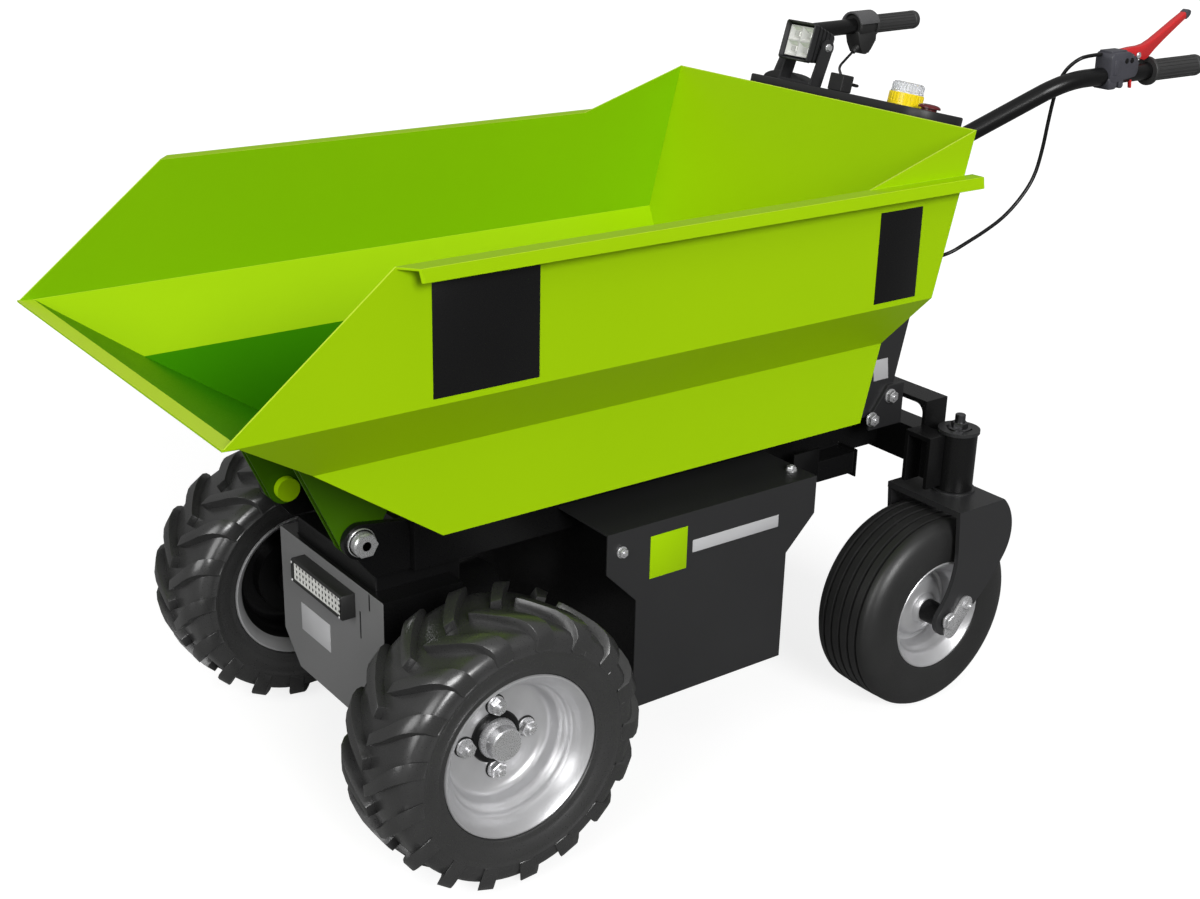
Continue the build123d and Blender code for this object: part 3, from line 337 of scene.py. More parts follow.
def loftRings(name, rings):  # a closed bar through rings of corners
    deselect()
    bpy.ops.mesh.primitive_circle_add(vertices=len(rings[0]), radius=0.01, fill_type="NGON")
    piece = bpy.context.object
    piece.name = name
    edit(piece, "VERT", everything=True)
    mesh = bmesh.from_edit_mesh(piece.data)
    for vert, corner in zip(mesh.verts, rings[0]):
        vert.co = corner
    bmesh.update_edit_mesh(piece.data)
    for before, after in zip(rings, rings[1:]):
        bpy.ops.mesh.extrude_region_move()
        mesh = bmesh.from_edit_mesh(piece.data)
        for vert in [vert for vert in mesh.verts if vert.select]:
            nearest = min(range(len(before)), key=lambda step: (vert.co - before[step]).length)
            vert.co = after[nearest]
        bmesh.update_edit_mesh(piece.data)
    mergeUp(piece)
    return piece


def prism(name, corners, way, low, high, edge=0.0):  # an outline drawn out along a direction, in mm
    piece = loftRings(name, [[corner + Vector(way) * (reach / 1000) for corner in corners] for reach in (low, high)])
    if edge:
        roundEdges(piece, edge / 1000)
    return piece


def sideOutline(points):  # points of (x, z) on the middle plane
    return [at(x, 0, z) for x, z in points]


def joinUp(pieces):
    deselect()
    for piece in pieces:
        piece.select_set(True)
    bpy.context.view_layer.objects.active = pieces[0]
    bpy.ops.object.join()
    return bpy.context.object


def spinCopies(piece, count, centre, axis=(0, 1, 0)):  # copies all round an axis
    edit(piece, "FACE", everything=True)
    turn = 2 * math.pi * (count - 1) / count
    bpy.ops.mesh.spin(steps=count - 1, dupli=True, angle=turn, center=centre, axis=axis)
    leaveEdit()


def mirrorAcross(piece, name, middle=0.0):  # a copy on the other side of a plane across the machine
    pick(piece)
    bpy.ops.object.duplicate()
    twin = bpy.context.object
    twin.name = name
    edit(twin, "VERT", everything=True)
    bpy.ops.transform.resize(value=(1, -1, 1), center_override=(0, middle, 0))
    bpy.ops.mesh.flip_normals()  # the negative scale turned every face round
    leaveEdit()
    return twin


def bothHands(piece):  # a left piece and its right twin, each with its hand
    return (piece, "left"), (mirrorAcross(piece, piece.name.replace("left", "right")), "right")


def flipped(half):  # a profile's other half, walked back
    return tuple((-across, radius) for across, radius in reversed(half))


def makeRib(name, place, axis, out, side, rib):  # ends along the axis, inner and outer reach, half width
    low, high, inner, outer, half = rib
    slim = half * 0.6  # it narrows outwards
    outline = ((inner, -half), (outer, -slim), (outer, slim), (inner, half))
    return prism(name, [place + (out * reach + side * offset) / 1000 for reach, offset in outline], axis, low, high)


def cellGrid(name, cells, place, across, up, ahead):  # a flat grid in edit mode, by its half sizes in mm
    deselect()
    bpy.ops.mesh.primitive_grid_add(x_subdivisions=cells[0], y_subdivisions=cells[1], size=2)
    grid = bpy.context.object
    grid.name = name
    turned = Matrix((across, up, ahead)).transposed().to_4x4()
    grid.data.transform(Matrix.Translation(place) @ Matrix.Scale(0.001, 4) @ turned)
    edit(grid, everything=True)
    return grid


def makeBolt(name, centre, axis, look):  # washer, hexagon and thread end, in mm from the seat
    washer, hexagon, thread = look["washer"], look["hex"], look["thread"]
    low, tall = 2, look["head"] + 2  # the washer's top and the hexagon's
    flat = ((0, 0), (0, washer), (low - 0.4, washer), (low, washer - 0.6), (low, 0))
    head = ((low, 0), (low, hexagon), (tall - 1.2, hexagon), (tall, hexagon * 0.88), (tall, 0))
    parts = [lathe(name, flat, centre, axis, 28), lathe(name + "Hex", head, centre, axis, 6)]
    if look["stud"]:
        end = tall + look["stud"]
        stud = ((tall, 0), (tall, thread), (end - 1, thread), (end, thread - 1), (end, 0))
        parts.append(lathe(name + "End", stud, centre, axis, 20))
    return joinUp(parts)


def fit(piece, slot, replaced=(), angle=35, finish=None, body="chassis"):
    pick(piece)
    bpy.ops.object.transform_apply(location=True, rotation=True, scale=True)
    bpy.ops.object.shade_smooth_by_angle(angle=math.radians(angle))
    piece.data.materials.clear()
    piece.data.materials.append(finishes[finish or slot])
    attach(piece, body)
    if replaced:
        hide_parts(*replaced)


# Sheet and frame pieces: the CAD shapes with their edges rounded, by millimetres
softEdges = {
    "tub_rear_wall": 0.9, "tub_left_side": 0.9, "tub_right_side": 0.9, "tub_floor": 0.9, "tub_ribs": 0.9,
    "frame_rails": 1.5, "front_cross_tube": 2.0, "pivot_ears": 1.2, "rear_beam": 2.0, "swivel_tubes": 1.5,
    "rear_hoop": 1.2, "front_cover": 1.0, "battery_tray": 0.9, "battery_cover_left": 1.2,
    "battery_cover_right": 1.2, "console_column": 2.5, "work_lamp_bracket": 0.8,
    "caster_left_fork": 1.6, "caster_right_fork": 1.6, "handlebars": 1.0, "drive_housing": 4.0,
    "drive_motor": 3.0, "axle_tubes": 2.0, "cable_gland": 2.0, "pivot_bolts": 0.8, "tub_rests": 3.0,
    "battery": 3.0,
}
cutAbove = {"caster_left_fork": 461.5, "caster_right_fork": 461.5}  # the stem's nut is made anew below


def soften(node, width):
    pick(nodes[node])
    bpy.ops.object.duplicate()
    piece = bpy.context.object
    piece.name = node + "Soft"
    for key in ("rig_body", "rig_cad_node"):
        del piece[key]
    piece.parent = None
    edit(piece, "VERT", everything=True)
    bpy.ops.mesh.remove_doubles(threshold=mergeWithin)
    bpy.ops.mesh.customdata_custom_splitnormals_clear()
    bpy.ops.mesh.dissolve_limited(angle_limit=math.radians(1))
    if node in cutAbove:
        bpy.ops.mesh.select_all(action="DESELECT")
        bpy.ops.mesh.select_mode(type="FACE")
        chooseFaces(piece, lambda middle, normal: middle.z > cutAbove[node] / 1000)
        bpy.ops.mesh.delete(type="FACE")
    leaveEdit()
    roundEdges(piece, width / 1000)
    angle = 20 if node.startswith("tub_") else 35  # the tub's folds stay crisp
    fit(piece, slotOf[node], (node,), angle, finishOf.get(node), nodes[node]["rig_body"])
    shape(piece, "WEIGHTED_NORMAL", keep_sharp=True)
    return piece


# painted shade: the front cover's faces that do not face forward get the darkest black, beside its lighter front
partFinish = {"front_cover": ("frameBlackAndShade", lambda face: face.normal.x < 0.3),  # its folded returns
              "pivot_bolts": ("green_paint", lambda face: abs(face.center.y) < 0.11)}  # the ends inside the ribs
# Painted shade inside the tub: its inner walls, floor and ramp get darker greens. Painted highlight: thin top sheet
# edges get a lighter green.
tubShade = {
    "inward": {"tub_left_side": -1, "tub_right_side": 1, "tub_floor": 0, "tub_rear_wall": 0},
    "finishes": ("greenPaintedShade", "greenDeep", "greenEdge"),
    "thin": 0.0052, "fold": 0.70,  # cut sheet edges narrower than this, above the side's fold, catch the light
    "edgeUp": 0.4, "wall": 0.9, "ramp": 0.5, "flat": 0.98,  # how straight a face looks up or inwards
}


def shadeTub(piece, inward, look):
    for name in look["finishes"]:
        piece.data.materials.append(finishes[name])
    inside, deep, edge = 1, 2, 3
    corners = piece.data.vertices
    for face in piece.data.polygons:
        longest = max((corners[a].co - corners[b].co).length for a, b in face.edge_keys)
        up, high = face.normal.z, face.center.z > look["fold"]
        # painted highlight: thin cut sheet edges high up get a lighter green
        if face.area < look["thin"] * longest and up > look["edgeUp"] and high:
            face.material_index = edge
        # painted shade: inner walls get the lighter shade high up and the deepest shade low down
        elif inward and face.normal.y * inward > look["wall"]:
            face.material_index = inside if high else deep
        # painted highlight on the lip's fold, painted shade on the floor and the deepest shade on the ramp
        elif piece.name.startswith("tub_floor") and up > look["ramp"]:  # the lip's fold, the floor and the ramp
            face.material_index = edge if high else inside if up > look["flat"] else deep


for node, width in softEdges.items():
    piece = soften(node, width)
    if node in tubShade["inward"]:
        shadeTub(piece, tubShade["inward"][node], tubShade)
    if node in partFinish:
        name, chosen = partFinish[node]
        piece.data.materials.append(finishes[name])
        for face in piece.data.polygons:
            face.material_index = 1 if chosen(face) else 0
print("sheet and frame pieces rounded,", len(softEdges))

# Front drive tyres: a smooth carcass with curved lugs standing on it
frontTyre = {
    "centre": (0, 316, 205), "radius": 205, "steps": 102, "lugsPerSide": 17, "lugRound": 2.6, "draft": 1.6,
    "half": ((44, 104), (53, 108.8), (59, 113.4), (63.6, 117.8), (66.5, 121.4), (71, 123.2), (72.4, 126.5), (72.0, 130),
             (73.6, 133), (76.6, 141), (78.6, 150), (79.2, 155.6), (80.2, 157), (80.2, 159.4), (79.2, 161),
             (78.8, 168), (76.6, 176.6), (71, 183.6), (59, 187.6), (38, 189.6), (0, 190.5)),
    # across, along the tread, half width, top and foot radius
    "lug": ((1.5, -33, 10.0, 204.2, 188), (8, -28.5, 10.6, 205, 188), (20, -19.5, 11.2, 205, 188),
            (34, -8.5, 12.2, 205, 187), (48, 4.5, 13.4, 204.8, 186), (60, 15.8, 14.6, 202.6, 182),
            (69, 24, 15.4, 198.2, 175), (76, 30.2, 16.0, 190.5, 168), (80.2, 33.8, 16.0, 181.5, 162),
            (80.8, 35, 15.0, 173, 160), (80.2, 35.6, 14.0, 165, 158.6)),
}


def treadPoint(centre, across, along, radius, rolling):  # along is measured on the rolling radius
    angle = math.pi / 2 + along / rolling
    return centre + Vector((math.cos(angle) * radius, across, math.sin(angle) * radius)) / 1000


def makeFrontTyres(look):
    centre = at(*look["centre"])
    carcass = lathe("front_left_tread", look["half"] + flipped(look["half"][:-1]), centre, steps=look["steps"])
    rings = []
    for across, along, width, top, foot in look["lug"]:
        slim = width - look["draft"]  # the lug narrows to its top
        sides = ((along - width, foot), (along + width, foot), (along + slim, top), (along - slim, top))
        rings.append([treadPoint(centre, across, side, radius, look["radius"]) for side, radius in sides])
    lug = loftRings("lug", rings)
    roundEdges(lug, look["lugRound"] / 1000, angle=28)
    other = mirrorAcross(lug, "otherLug", centre.y)
    halfStep = Matrix.Rotation(math.pi / look["lugsPerSide"], 4, "Y")
    other.data.transform(Matrix.Translation(centre) @ halfStep @ Matrix.Translation(-centre))
    lugs = joinUp([lug, other])
    spinCopies(lugs, look["lugsPerSide"], centre)
    for piece, hand in bothHands(joinUp([carcass, lugs])):
        fit(piece, "tyre_rubber", (f"front_{hand}_tyre",), angle=40, body=f"front_{hand}_wheel")


makeFrontTyres(frontTyre)
print("front tyres made")

# Rear tyres: ribbed tread and a plain sidewall
casterTyre = {
    "centre": (-838, 300, 166), "steps": 112, "grooves": (-36, -18.5, 0, 18.5, 36), "groove": (1.9, 6.0),
    "crown": (166, 1.2, 40),  # radius in the middle, and the fall at a distance from it
    "half": ((34, 77.8), (41, 80), (47, 84.4), (53.4, 89.8), (56.6, 93), (61, 95), (62, 98.5), (62.3, 104), (63.6, 118),
             (64, 128), (63.3, 139), (60.8, 149), (56.6, 157), (51, 162.2), (46, 164.6)),
}


def makeCasterTyres(look):
    width, depth = look["groove"]
    crown, fall, distance = look["crown"]
    tread = []
    for middle in reversed(look["grooves"]):
        top = crown - fall * (middle / distance) ** 2
        tread += [(middle + width + 1, top), (middle + width * 0.7, top - depth), (middle - width * 0.7, top - depth),
                  (middle - width - 1, top)]
    profile = (*look["half"], *tread, *flipped(look["half"]))
    tyre = lathe("caster_left_tread", profile, at(*look["centre"]), steps=look["steps"])
    for piece, hand in bothHands(tyre):
        fit(piece, "tyre_rubber", (f"caster_{hand}_tyre",), 40, "casterRubber", f"caster_{hand}_wheel")


makeCasterTyres(casterTyre)
print("rear tyres made")

# Front rims: rolled flange, stepped bead seat and a deep dish
frontRim = {
    "centre": (0, 316, 205), "steps": 96,
    "dish": ((2, 30.3), (2, 62), (2.6, 74), (4.6, 80.5), (9, 85), (14, 87.4), (24, 88.4), (29, 89.8), (33.5, 93),
             (37, 96), (41, 97.4), (46, 98.8), (48, 100.4)),
    "flange": ((51, 102.8), (56, 105.6), (60.6, 108.8), (65, 112.6), (68, 115.6), (70, 118), (69.8, 119.8), (68, 121),
               (66, 120.4), (63.6, 117.4), (59, 113), (53, 108.4), (46, 104.4), (42, 101.6), (36.5, 97.6), (33, 94.4),
               (31, 93.4)),
    "back": ((-46, 98.8), (-41, 97.4), (-37, 96), (-32, 91.6), (-27, 89.4), (-10, 88.6), (-6.6, 86), (-4.4, 81.5),
             (-4, 74), (-4, 30.3)),
    "shade": (-3, 104),  # faces further in than this, and inside this radius, stay dark
}


# Painted shade: the back faces of rims and hubs get the black finish
def paintShadeOnBack(piece, look):  # a wheel's inner side lies in the machine's shade
    centre = at(*look["centre"])
    piece.data.materials.append(finishes["frameBlackAndShade"])
    for face in piece.data.polygons:
        across = (abs(face.center.y) - centre.y) * 1000
        radius = math.hypot(face.center.x - centre.x, face.center.z - centre.z) * 1000
        if across < look["shade"][0] and radius < look["shade"][1]:
            face.material_index = 1


def makeFrontRims(look):
    profile = look["dish"] + look["flange"] + flipped(look["flange"]) + look["back"]
    rim = lathe("front_left_dish", profile, at(*look["centre"]), steps=look["steps"])
    for piece, hand in bothHands(rim):
        fit(piece, "rim_steel", (f"front_{hand}_rim",), angle=32, body=f"front_{hand}_wheel")
        paintShadeOnBack(piece, look)


makeFrontRims(frontRim)
print("front rims made")

# Front hubs: a stepped boss with a flat cap, its black seal and four wheel nuts
frontHub = {
    "centre": (0, 316, 205), "seat": 2, "nutCircle": 50, "nuts": 4,
    "boss": ((34, 0), (34, 22.6), (32.4, 24.4), (19, 24.8), (17, 26.5), (14, 29), (11, 29.8), (-4, 29.8), (-4, 62),
             (-27, 62), (-27, 18), (-106, 18), (-106, 0)),
    "seal": ((2, 30), (2, 39), (5, 39), (7.4, 37), (8, 34), (8, 30)),
    "washer": ((0, 6), (0, 15), (1.8, 15), (2.4, 14), (2.4, 6)),
    "nut": {"washer": 13.4, "hex": 12.6, "head": 10, "thread": 6.4, "stud": 6},
}


def makeFrontHubs(look):
    centre = at(*look["centre"])
    nutPlace = centre + Vector((0, look["seat"], look["nutCircle"])) / 1000
    washerTop = Vector((0, look["washer"][-1][0], 0)) / 1000
    boss = lathe("front_left_boss", look["boss"], centre, steps=48)
    nut = makeBolt("frontNut", nutPlace + washerTop, (0, 1, 0), look["nut"])
    spinCopies(nut, look["nuts"], centre)
    hub = joinUp([boss, nut])
    washer = lathe("frontWasher", look["washer"], nutPlace, steps=28)
    spinCopies(washer, look["nuts"], centre)
    seal = joinUp([lathe("front_left_seal", look["seal"], centre, steps=48), washer])
    for (steel, hand), (black, hand) in zip(bothHands(hub), bothHands(seal)):
        fit(steel, "bolt_steel", (f"front_{hand}_hub",), body=f"front_{hand}_wheel")
        paintShadeOnBack(steel, frontRim)
        fit(black, "black_paint", finish="frameBlackAndShade", body=f"front_{hand}_wheel")


makeFrontHubs(frontHub)
print("front hubs made")

# Caster rims: two pressed halves round a bearing housing
casterRim = {
    "centre": (-838, 300, 166), "steps": 80,
    "half": ((36, 19.4), (36, 22), (33, 25.5), (28, 27.5), (25.8, 31), (25, 40), (22.5, 46), (16, 51), (9, 55),
             (7, 59), (9, 63.5), (16, 65.4), (26, 66.4), (30.5, 69), (34, 72), (38, 73.6), (42, 75), (45, 77.6),
             (53, 84), (57, 87.6), (59.6, 90), (60, 91.6), (58.8, 93), (56.6, 92.6), (53.4, 89.4), (47, 84),
             (41, 79.6), (35, 76), (31, 73), (27.5, 69.6)),
    "bearing": ((71, 10.5), (71, 16), (69, 18), (52, 18.6), (50, 19.2), (36, 19.2)),
}


def makeCasterRims(look):
    centre = at(*look["centre"])
    rims = bothHands(lathe("caster_left_dish", look["half"] + flipped(look["half"]), centre, steps=look["steps"]))
    bearings = bothHands(lathe("caster_left_bearing", look["bearing"] + flipped(look["bearing"]), centre))
    for (steel, hand), (black, hand) in zip(rims, bearings):
        fit(steel, "rim_steel", (f"caster_{hand}_rim",), angle=32, body=f"caster_{hand}_wheel")
        fit(black, "black_paint", finish="frameBlackAndShade", body=f"caster_{hand}_wheel")


makeCasterRims(casterRim)
print("caster rims made")

# Caster axles with their nuts and rounded end plates, and the nut on each stem
casterEnds = {
    "axle": (-838, 300, 166), "stem": (-911, 300, 461),
    "shaft": ((92, 0), (92, 6), (91, 7), (80, 7), (80, 10), (-80, 10), (-80, 7), (-91, 7), (-92, 6), (-92, 0)),
    "nut": {"washer": 15, "hex": 14, "head": 7, "thread": 7, "stud": 0},
    "nutSeats": (((0, 1, 0), 84.5), ((0, -1, 0), 80)),
    "plate": ((-876, 185), (-846, 147)), "plateRadius": 15, "plateAt": 380, "plateThick": 4.5, "plateEdge": 0.8,
    "plateBolt": {"washer": 8, "hex": 7.5, "head": 6, "thread": 4, "stud": 3},
    "stemNut": {"washer": 19, "hex": 14, "head": 9, "thread": 8.5, "stud": 13},
}
cornerSteps = 8  # faces round a quarter or a half turn of an outline


def capsule(start, end, radius, y):  # outline round two points of (x, z)
    along = Vector((end[0] - start[0], 0, end[1] - start[1])).normalized()
    across = Vector((-along.z, 0, along.x))
    corners = []
    for middle, turn in ((start, math.pi / 2), (end, -math.pi / 2)):
        for step in range(cornerSteps + 1):
            angle = turn + math.pi * step / cornerSteps
            reach = (along * math.cos(angle) + across * math.sin(angle)) * (radius / 1000)
            corners.append(at(middle[0], y, middle[1]) + reach)
    return corners


def makeCasterEnds(look):
    axle, outside = at(*look["axle"]), (0, 1, 0)
    parts = [lathe("caster_left_spindle", look["shaft"], axle, steps=32)]
    for way, seat in look["nutSeats"]:
        parts.append(makeBolt("axleNut", axle + Vector(way) * (seat / 1000), way, look["nut"]))
    outline = capsule(*look["plate"], look["plateRadius"], look["plateAt"])
    parts.append(prism("axlePlate", outline, outside, 0, look["plateThick"], look["plateEdge"]))
    x, z = look["plate"][0]
    parts.append(makeBolt("plateBolt", at(x, look["plateAt"] + look["plateThick"], z), outside, look["plateBolt"]))
    nut = makeBolt("caster_left_stemNut", at(*look["stem"]), (0, 0, 1), look["stemNut"])
    for (steel, hand), (top, hand) in zip(bothHands(joinUp(parts)), bothHands(nut)):
        fit(steel, "bolt_steel", (f"caster_{hand}_axle",), body=f"caster_{hand}")
        fit(top, "bolt_steel", finish="darkSteel", body=f"caster_{hand}")


makeCasterEnds(casterEnds)
print("caster axles made")

# Console: the panel's plane, and what stands on it
panelFront, panelTop, panelLean = -850.82, 968.0, math.radians(13)
panelUp = Vector((-math.sin(panelLean), 0, math.cos(panelLean)))
panelBack = Vector((-math.cos(panelLean), 0, -math.sin(panelLean)))


def onPanel(along, y):
    return at(panelFront + along * math.cos(panelLean), y, panelTop + along * math.sin(panelLean))


consolePanel = {"depth": 124, "half": 210, "corner": 40, "thick": 20, "edge": 2.5,
                "hood": {"along": (-80, -44), "middle": -155, "half": 49, "height": 16, "sunk": 1, "steps": 16,
                         "edge": 1.5}}


def makePanel(look):
    depth, half, corner = look["depth"], look["half"], look["corner"]
    outline = []
    for along, y, first in ((-corner, half - corner, 0), (corner - depth, half - corner, 90),
                            (corner - depth, corner - half, 180), (-corner, corner - half, 270)):
        for step in range(cornerSteps + 1):
            angle = math.radians(first + step * 90 / cornerSteps)
            outline.append(onPanel(along + corner * math.cos(angle), y + corner * math.sin(angle)))
    board = prism("console_panelBoard", outline, panelUp, -look["thick"], 0, look["edge"])
    hood = look["hood"]
    arch = [math.pi * step / hood["steps"] for step in range(hood["steps"] + 1)]
    rear, front = hood["along"]
    rise = [onPanel(rear, hood["middle"] + hood["half"] * math.cos(angle))
            + panelUp * (hood["height"] * math.sin(angle) - hood["sunk"]) / 1000 for angle in arch]
    cowl = prism("panelHood", rise, -panelBack, 0, front - rear, hood["edge"])
    fit(joinUp([board, cowl]), "black_plastic", ("console_panel",))


makePanel(consolePanel)

beacon = {
    "place": (-44, 132), "ribs": 30,
    "base": ((0, 0), (0, 28), (3.4, 28), (4, 27), (18.4, 27), (19, 26.4), (19, 0)),
    "baseRib": (4.2, 18.2, 26.6, 28, 1.3),
    "cover": ((19, 0), (19, 26), (21, 26.4), (22, 25), (33, 24.4), (35.2, 22.6), (36, 19), (36, 0)),
    "coverRib": (22.4, 33.4, 24.2, 25.8, 1.2),
}


def makeBeacon(look):
    place = onPanel(*look["place"])
    for name, profile, slot in (("beacon", "base", "amber_plastic"), ("beacon_lens", "cover", "clear_lens")):
        body = lathe(name + "Body", look[profile], place, panelUp, 48)
        ribs = makeRib(name + "Ribs", place, panelUp, panelBack, Vector((0, 1, 0)), look[profile + "Rib"])
        spinCopies(ribs, look["ribs"], place, panelUp)
        fit(joinUp([body, ribs]), slot, (name,))


stopButton = {"place": (-39, 189), "profile": ((0, 0), (0, 12.6), (3, 12.6), (3, 17), (3.6, 18), (5.4, 18), (7.6, 16.4),
                                               (9, 12.6), (9.8, 7), (10, 0))}


def makeStopButton(look):
    button = lathe("stop_buttonCap", look["profile"], onPanel(*look["place"]), panelUp, 48)
    fit(button, "red_plastic", ("stop_button",), angle=25, finish="darkRed")


makeBeacon(beacon)
makeStopButton(stopButton)
print("beacon and stop button made")

# Work lamp: finned body, bezel and four square reflectors
workLamp = {
    "place": (-869.3, -100, 1032), "tilt": 16, "chamfer": 3, "bezel": 6.5, "recess": 18, "near": 0.004,
    "lens": (28, 25, 7.5), "cells": (2, 2), "insets": ((1.2, 0), (6.5, -7), (1.2, 2)),  # each with its depth
    # depth behind the face, half width, half height
    "rings": ((0, 33.5, 30.5), (1.5, 35, 32), (11, 35, 32), (13, 31, 28), (16, 31, 28), (16.6, 33.4, 30.4),
              (21, 33, 30), (21.6, 29.6, 26.6), (26, 29.4, 26.4), (26.6, 32, 29), (31, 31.6, 28.6), (31.6, 28, 25),
              (36, 28, 25), (36.6, 30.6, 27.6), (41, 30, 27), (41.6, 27, 24), (46, 27, 24), (46.6, 29, 26),
              (51, 28.4, 25.4), (57, 27.4, 24.4), (62, 24, 21)),
    "bolt": (-905, -60, 1022), "boltLook": {"washer": 6.5, "hex": 5.5, "head": 3.4, "thread": 2, "stud": 0},
}


def makeWorkLamp(look):
    tilt = math.radians(look["tilt"])
    ahead = Vector((math.cos(tilt), 0, math.sin(tilt)))
    up = Vector((-math.sin(tilt), 0, math.cos(tilt)))
    place = at(*look["place"])

    def corner(across, high, depth):
        return place + (Vector((0, across, 0)) + up * high - ahead * depth) / 1000

    cut = look["chamfer"]
    rings = []
    for depth, wide, tall in look["rings"]:
        outline = ((wide - cut, tall), (wide, tall - cut), (wide, cut - tall), (wide - cut, -tall), (cut - wide, -tall),
                   (-wide, cut - tall), (-wide, tall - cut), (cut - wide, tall))
        rings.append([corner(across, high, depth) for across, high in outline])
    body = loftRings("work_lampBody", rings)
    edit(body)
    chooseFaces(body, lambda middle, normal: normal.dot(ahead) > facing and (middle - place).length < look["near"])
    bpy.ops.mesh.inset(thickness=look["bezel"] / 1000)
    bpy.ops.transform.translate(value=-ahead * (look["recess"] / 1000))
    leaveEdit()
    fit(body, "lamp_body", ("work_lamp",))
    wide, tall, depth = look["lens"]
    lens = cellGrid("work_lamp_lensCells", look["cells"], corner(0, 0, depth), Vector((0, wide, 0)), up * tall, ahead)
    for thickness, depth in look["insets"]:
        bpy.ops.mesh.inset(thickness=thickness / 1000, depth=depth / 1000, use_individual=True)
    leaveEdit()
    fit(lens, "clear_lens", ("work_lamp_lens",), angle=20, finish="reflector")
    fit(makeBolt("work_lampBolt", at(*look["bolt"]), (0, 1, 0), look["boltLook"]), "bolt_steel")


makeWorkLamp(workLamp)
print("work lamp made")

# Light bar on the front cover: housing with a sunk window and three rows of reflectors
lightBar = {
    "outline": ((80, 306), (101, 306), (104, 309), (104, 342), (101, 345), (80, 345)), "half": 78, "edge": 1.2,
    "window": (5, 4), "lens": (71, 13.4, 325.5, 101.5), "cells": (14, 3), "dish": -2.6,
    "screwFace": 104, "screws": ((73.5, 311), (73.5, 340)),
    "screw": ((0, 0), (0, 2.4), (0.8, 2.4), (1.3, 1.8), (1.3, 0)),
}


def makeLightBar(look):
    housing = prism("light_barHousing", sideOutline(look["outline"]), (0, 1, 0), -look["half"], look["half"])
    border, sunk = look["window"]
    edit(housing)
    chooseFaces(housing, lambda middle, normal: normal.x > facing)
    bpy.ops.mesh.inset(thickness=border / 1000)
    bpy.ops.transform.translate(value=(-sunk / 1000, 0, 0))
    leaveEdit()
    roundEdges(housing, look["edge"] / 1000)
    fit(housing, "black_plastic", ("light_bar",))
    wide, tall, high, front = look["lens"]
    lens = cellGrid("light_bar_lensCells", look["cells"], at(front, 0, high), Vector((0, wide, 0)),
                    Vector((0, 0, tall)), Vector((1, 0, 0)))
    bpy.ops.mesh.poke(offset=look["dish"] / 1000)
    leaveEdit()
    fit(lens, "clear_lens", ("light_bar_lens",), angle=10, finish="reflector")
    screws = [lathe("lightBarScrew", look["screw"], at(look["screwFace"], side * y, z), (1, 0, 0), 16)
              for y, z in look["screws"] for side in (1, -1)]
    fit(joinUp(screws), "bolt_steel")


makeLightBar(lightBar)
print("light bar made")

# Grips: flanged, ribbed along and rounded at the end
gripAxis = (at(-1380, 318, 1012) - at(-1065, 305, 1008)).normalized()
grips = {
    "start": (-1254, 312.8, 1010.4), "ribs": 18, "rib": (10, 112, 15.8, 17.2, 1.5),
    "profile": ((0, 14.4), (0, 22), (1.2, 23), (4.8, 23), (6, 22), (7, 18.4), (9, 16.2), (113, 16.2), (114.4, 17.4),
                (121, 17.4), (124.6, 16.4), (126.6, 14), (127.4, 9), (127.6, 0)),
}


def makeGrips(look):
    start = at(*look["start"])
    body = lathe("gripsBody", look["profile"], start, gripAxis, 48)
    side = gripAxis.cross(Vector((0, 0, 1))).normalized()
    ribs = makeRib("gripRibs", start, gripAxis, side.cross(gripAxis), side, look["rib"])
    spinCopies(ribs, look["ribs"], start, gripAxis)
    grip = joinUp([body, ribs])
    fit(joinUp([grip, mirrorAcross(grip, "gripsTwin")]), "rest_rubber", ("grips",))


makeGrips(grips)
print("grips made")

# Lever bracket: a casting on a split clamp, with the red lever
leverParts = {
    # ends across the machine and the edges' width
    "spans": {"casting": (293, 326.6, 3), "ridge": (297, 322, 1.2), "web": (320, 328, 1.6), "clamps": (294, 325.6, 2.4),
              "lever": (304, 315.6, 2), "tab": (317, 322, 0.8), "tip": (303.4, 316.2, 1.6)},
    "casting": ((-1147, 1004), (-1146, 1040), (-1150, 1047), (-1188, 1047), (-1200, 1043), (-1213, 1034), (-1216, 1028),
                (-1216, 1012), (-1210, 1006), (-1186, 1003), (-1158, 999)),
    "recess": ((0, 0), (0, 4.4), (0.5, 4.4), (0.9, 3.8), (0.9, 0)),
    "recesses": ((-1183, 326.6, 1033), (-1196, 326.6, 1033)),
    "ridge": ((-1150, 1044), (-1150, 1049.4), (-1186, 1049.4), (-1192, 1044)),
    "clamps": (((-1147, 990), (-1146, 1008), (-1167, 1008), (-1168, 994), (-1164, 989.6), (-1151, 989.6)),
               ((-1172, 992), (-1171, 1004), (-1182, 1004), (-1183, 994), (-1180, 990.6), (-1174, 990.6))),
    "web": ((-1154, 1012), (-1154, 1036), (-1168, 1036), (-1168, 1012)),
    "pin": ((0, 0), (0, 5), (1.6, 5), (2.4, 4), (2.4, 0)), "pinPlace": (-1209, 327.4, 1040),
    "lever": ((-1180, 1036), (-1180, 1048.5), (-1206, 1051), (-1226, 1051.6), (-1242, 1054), (-1258, 1060),
              (-1280, 1071), (-1310, 1086.4), (-1342, 1102), (-1348, 1100), (-1348.4, 1096.6), (-1344, 1092.4),
              (-1316, 1075.6), (-1288, 1058.4), (-1266, 1043.6), (-1252, 1032), (-1243, 1028.6), (-1232, 1031),
              (-1222, 1036), (-1206, 1036)),
    "tip": ((-1334.6, 1099), (-1342.4, 1103), (-1348.8, 1100.6), (-1349, 1095.2), (-1344.4, 1090.2), (-1338, 1086.6)),
    "tab": ((-1206, 988), (-1203, 1002), (-1208, 1002), (-1210, 988)),
}


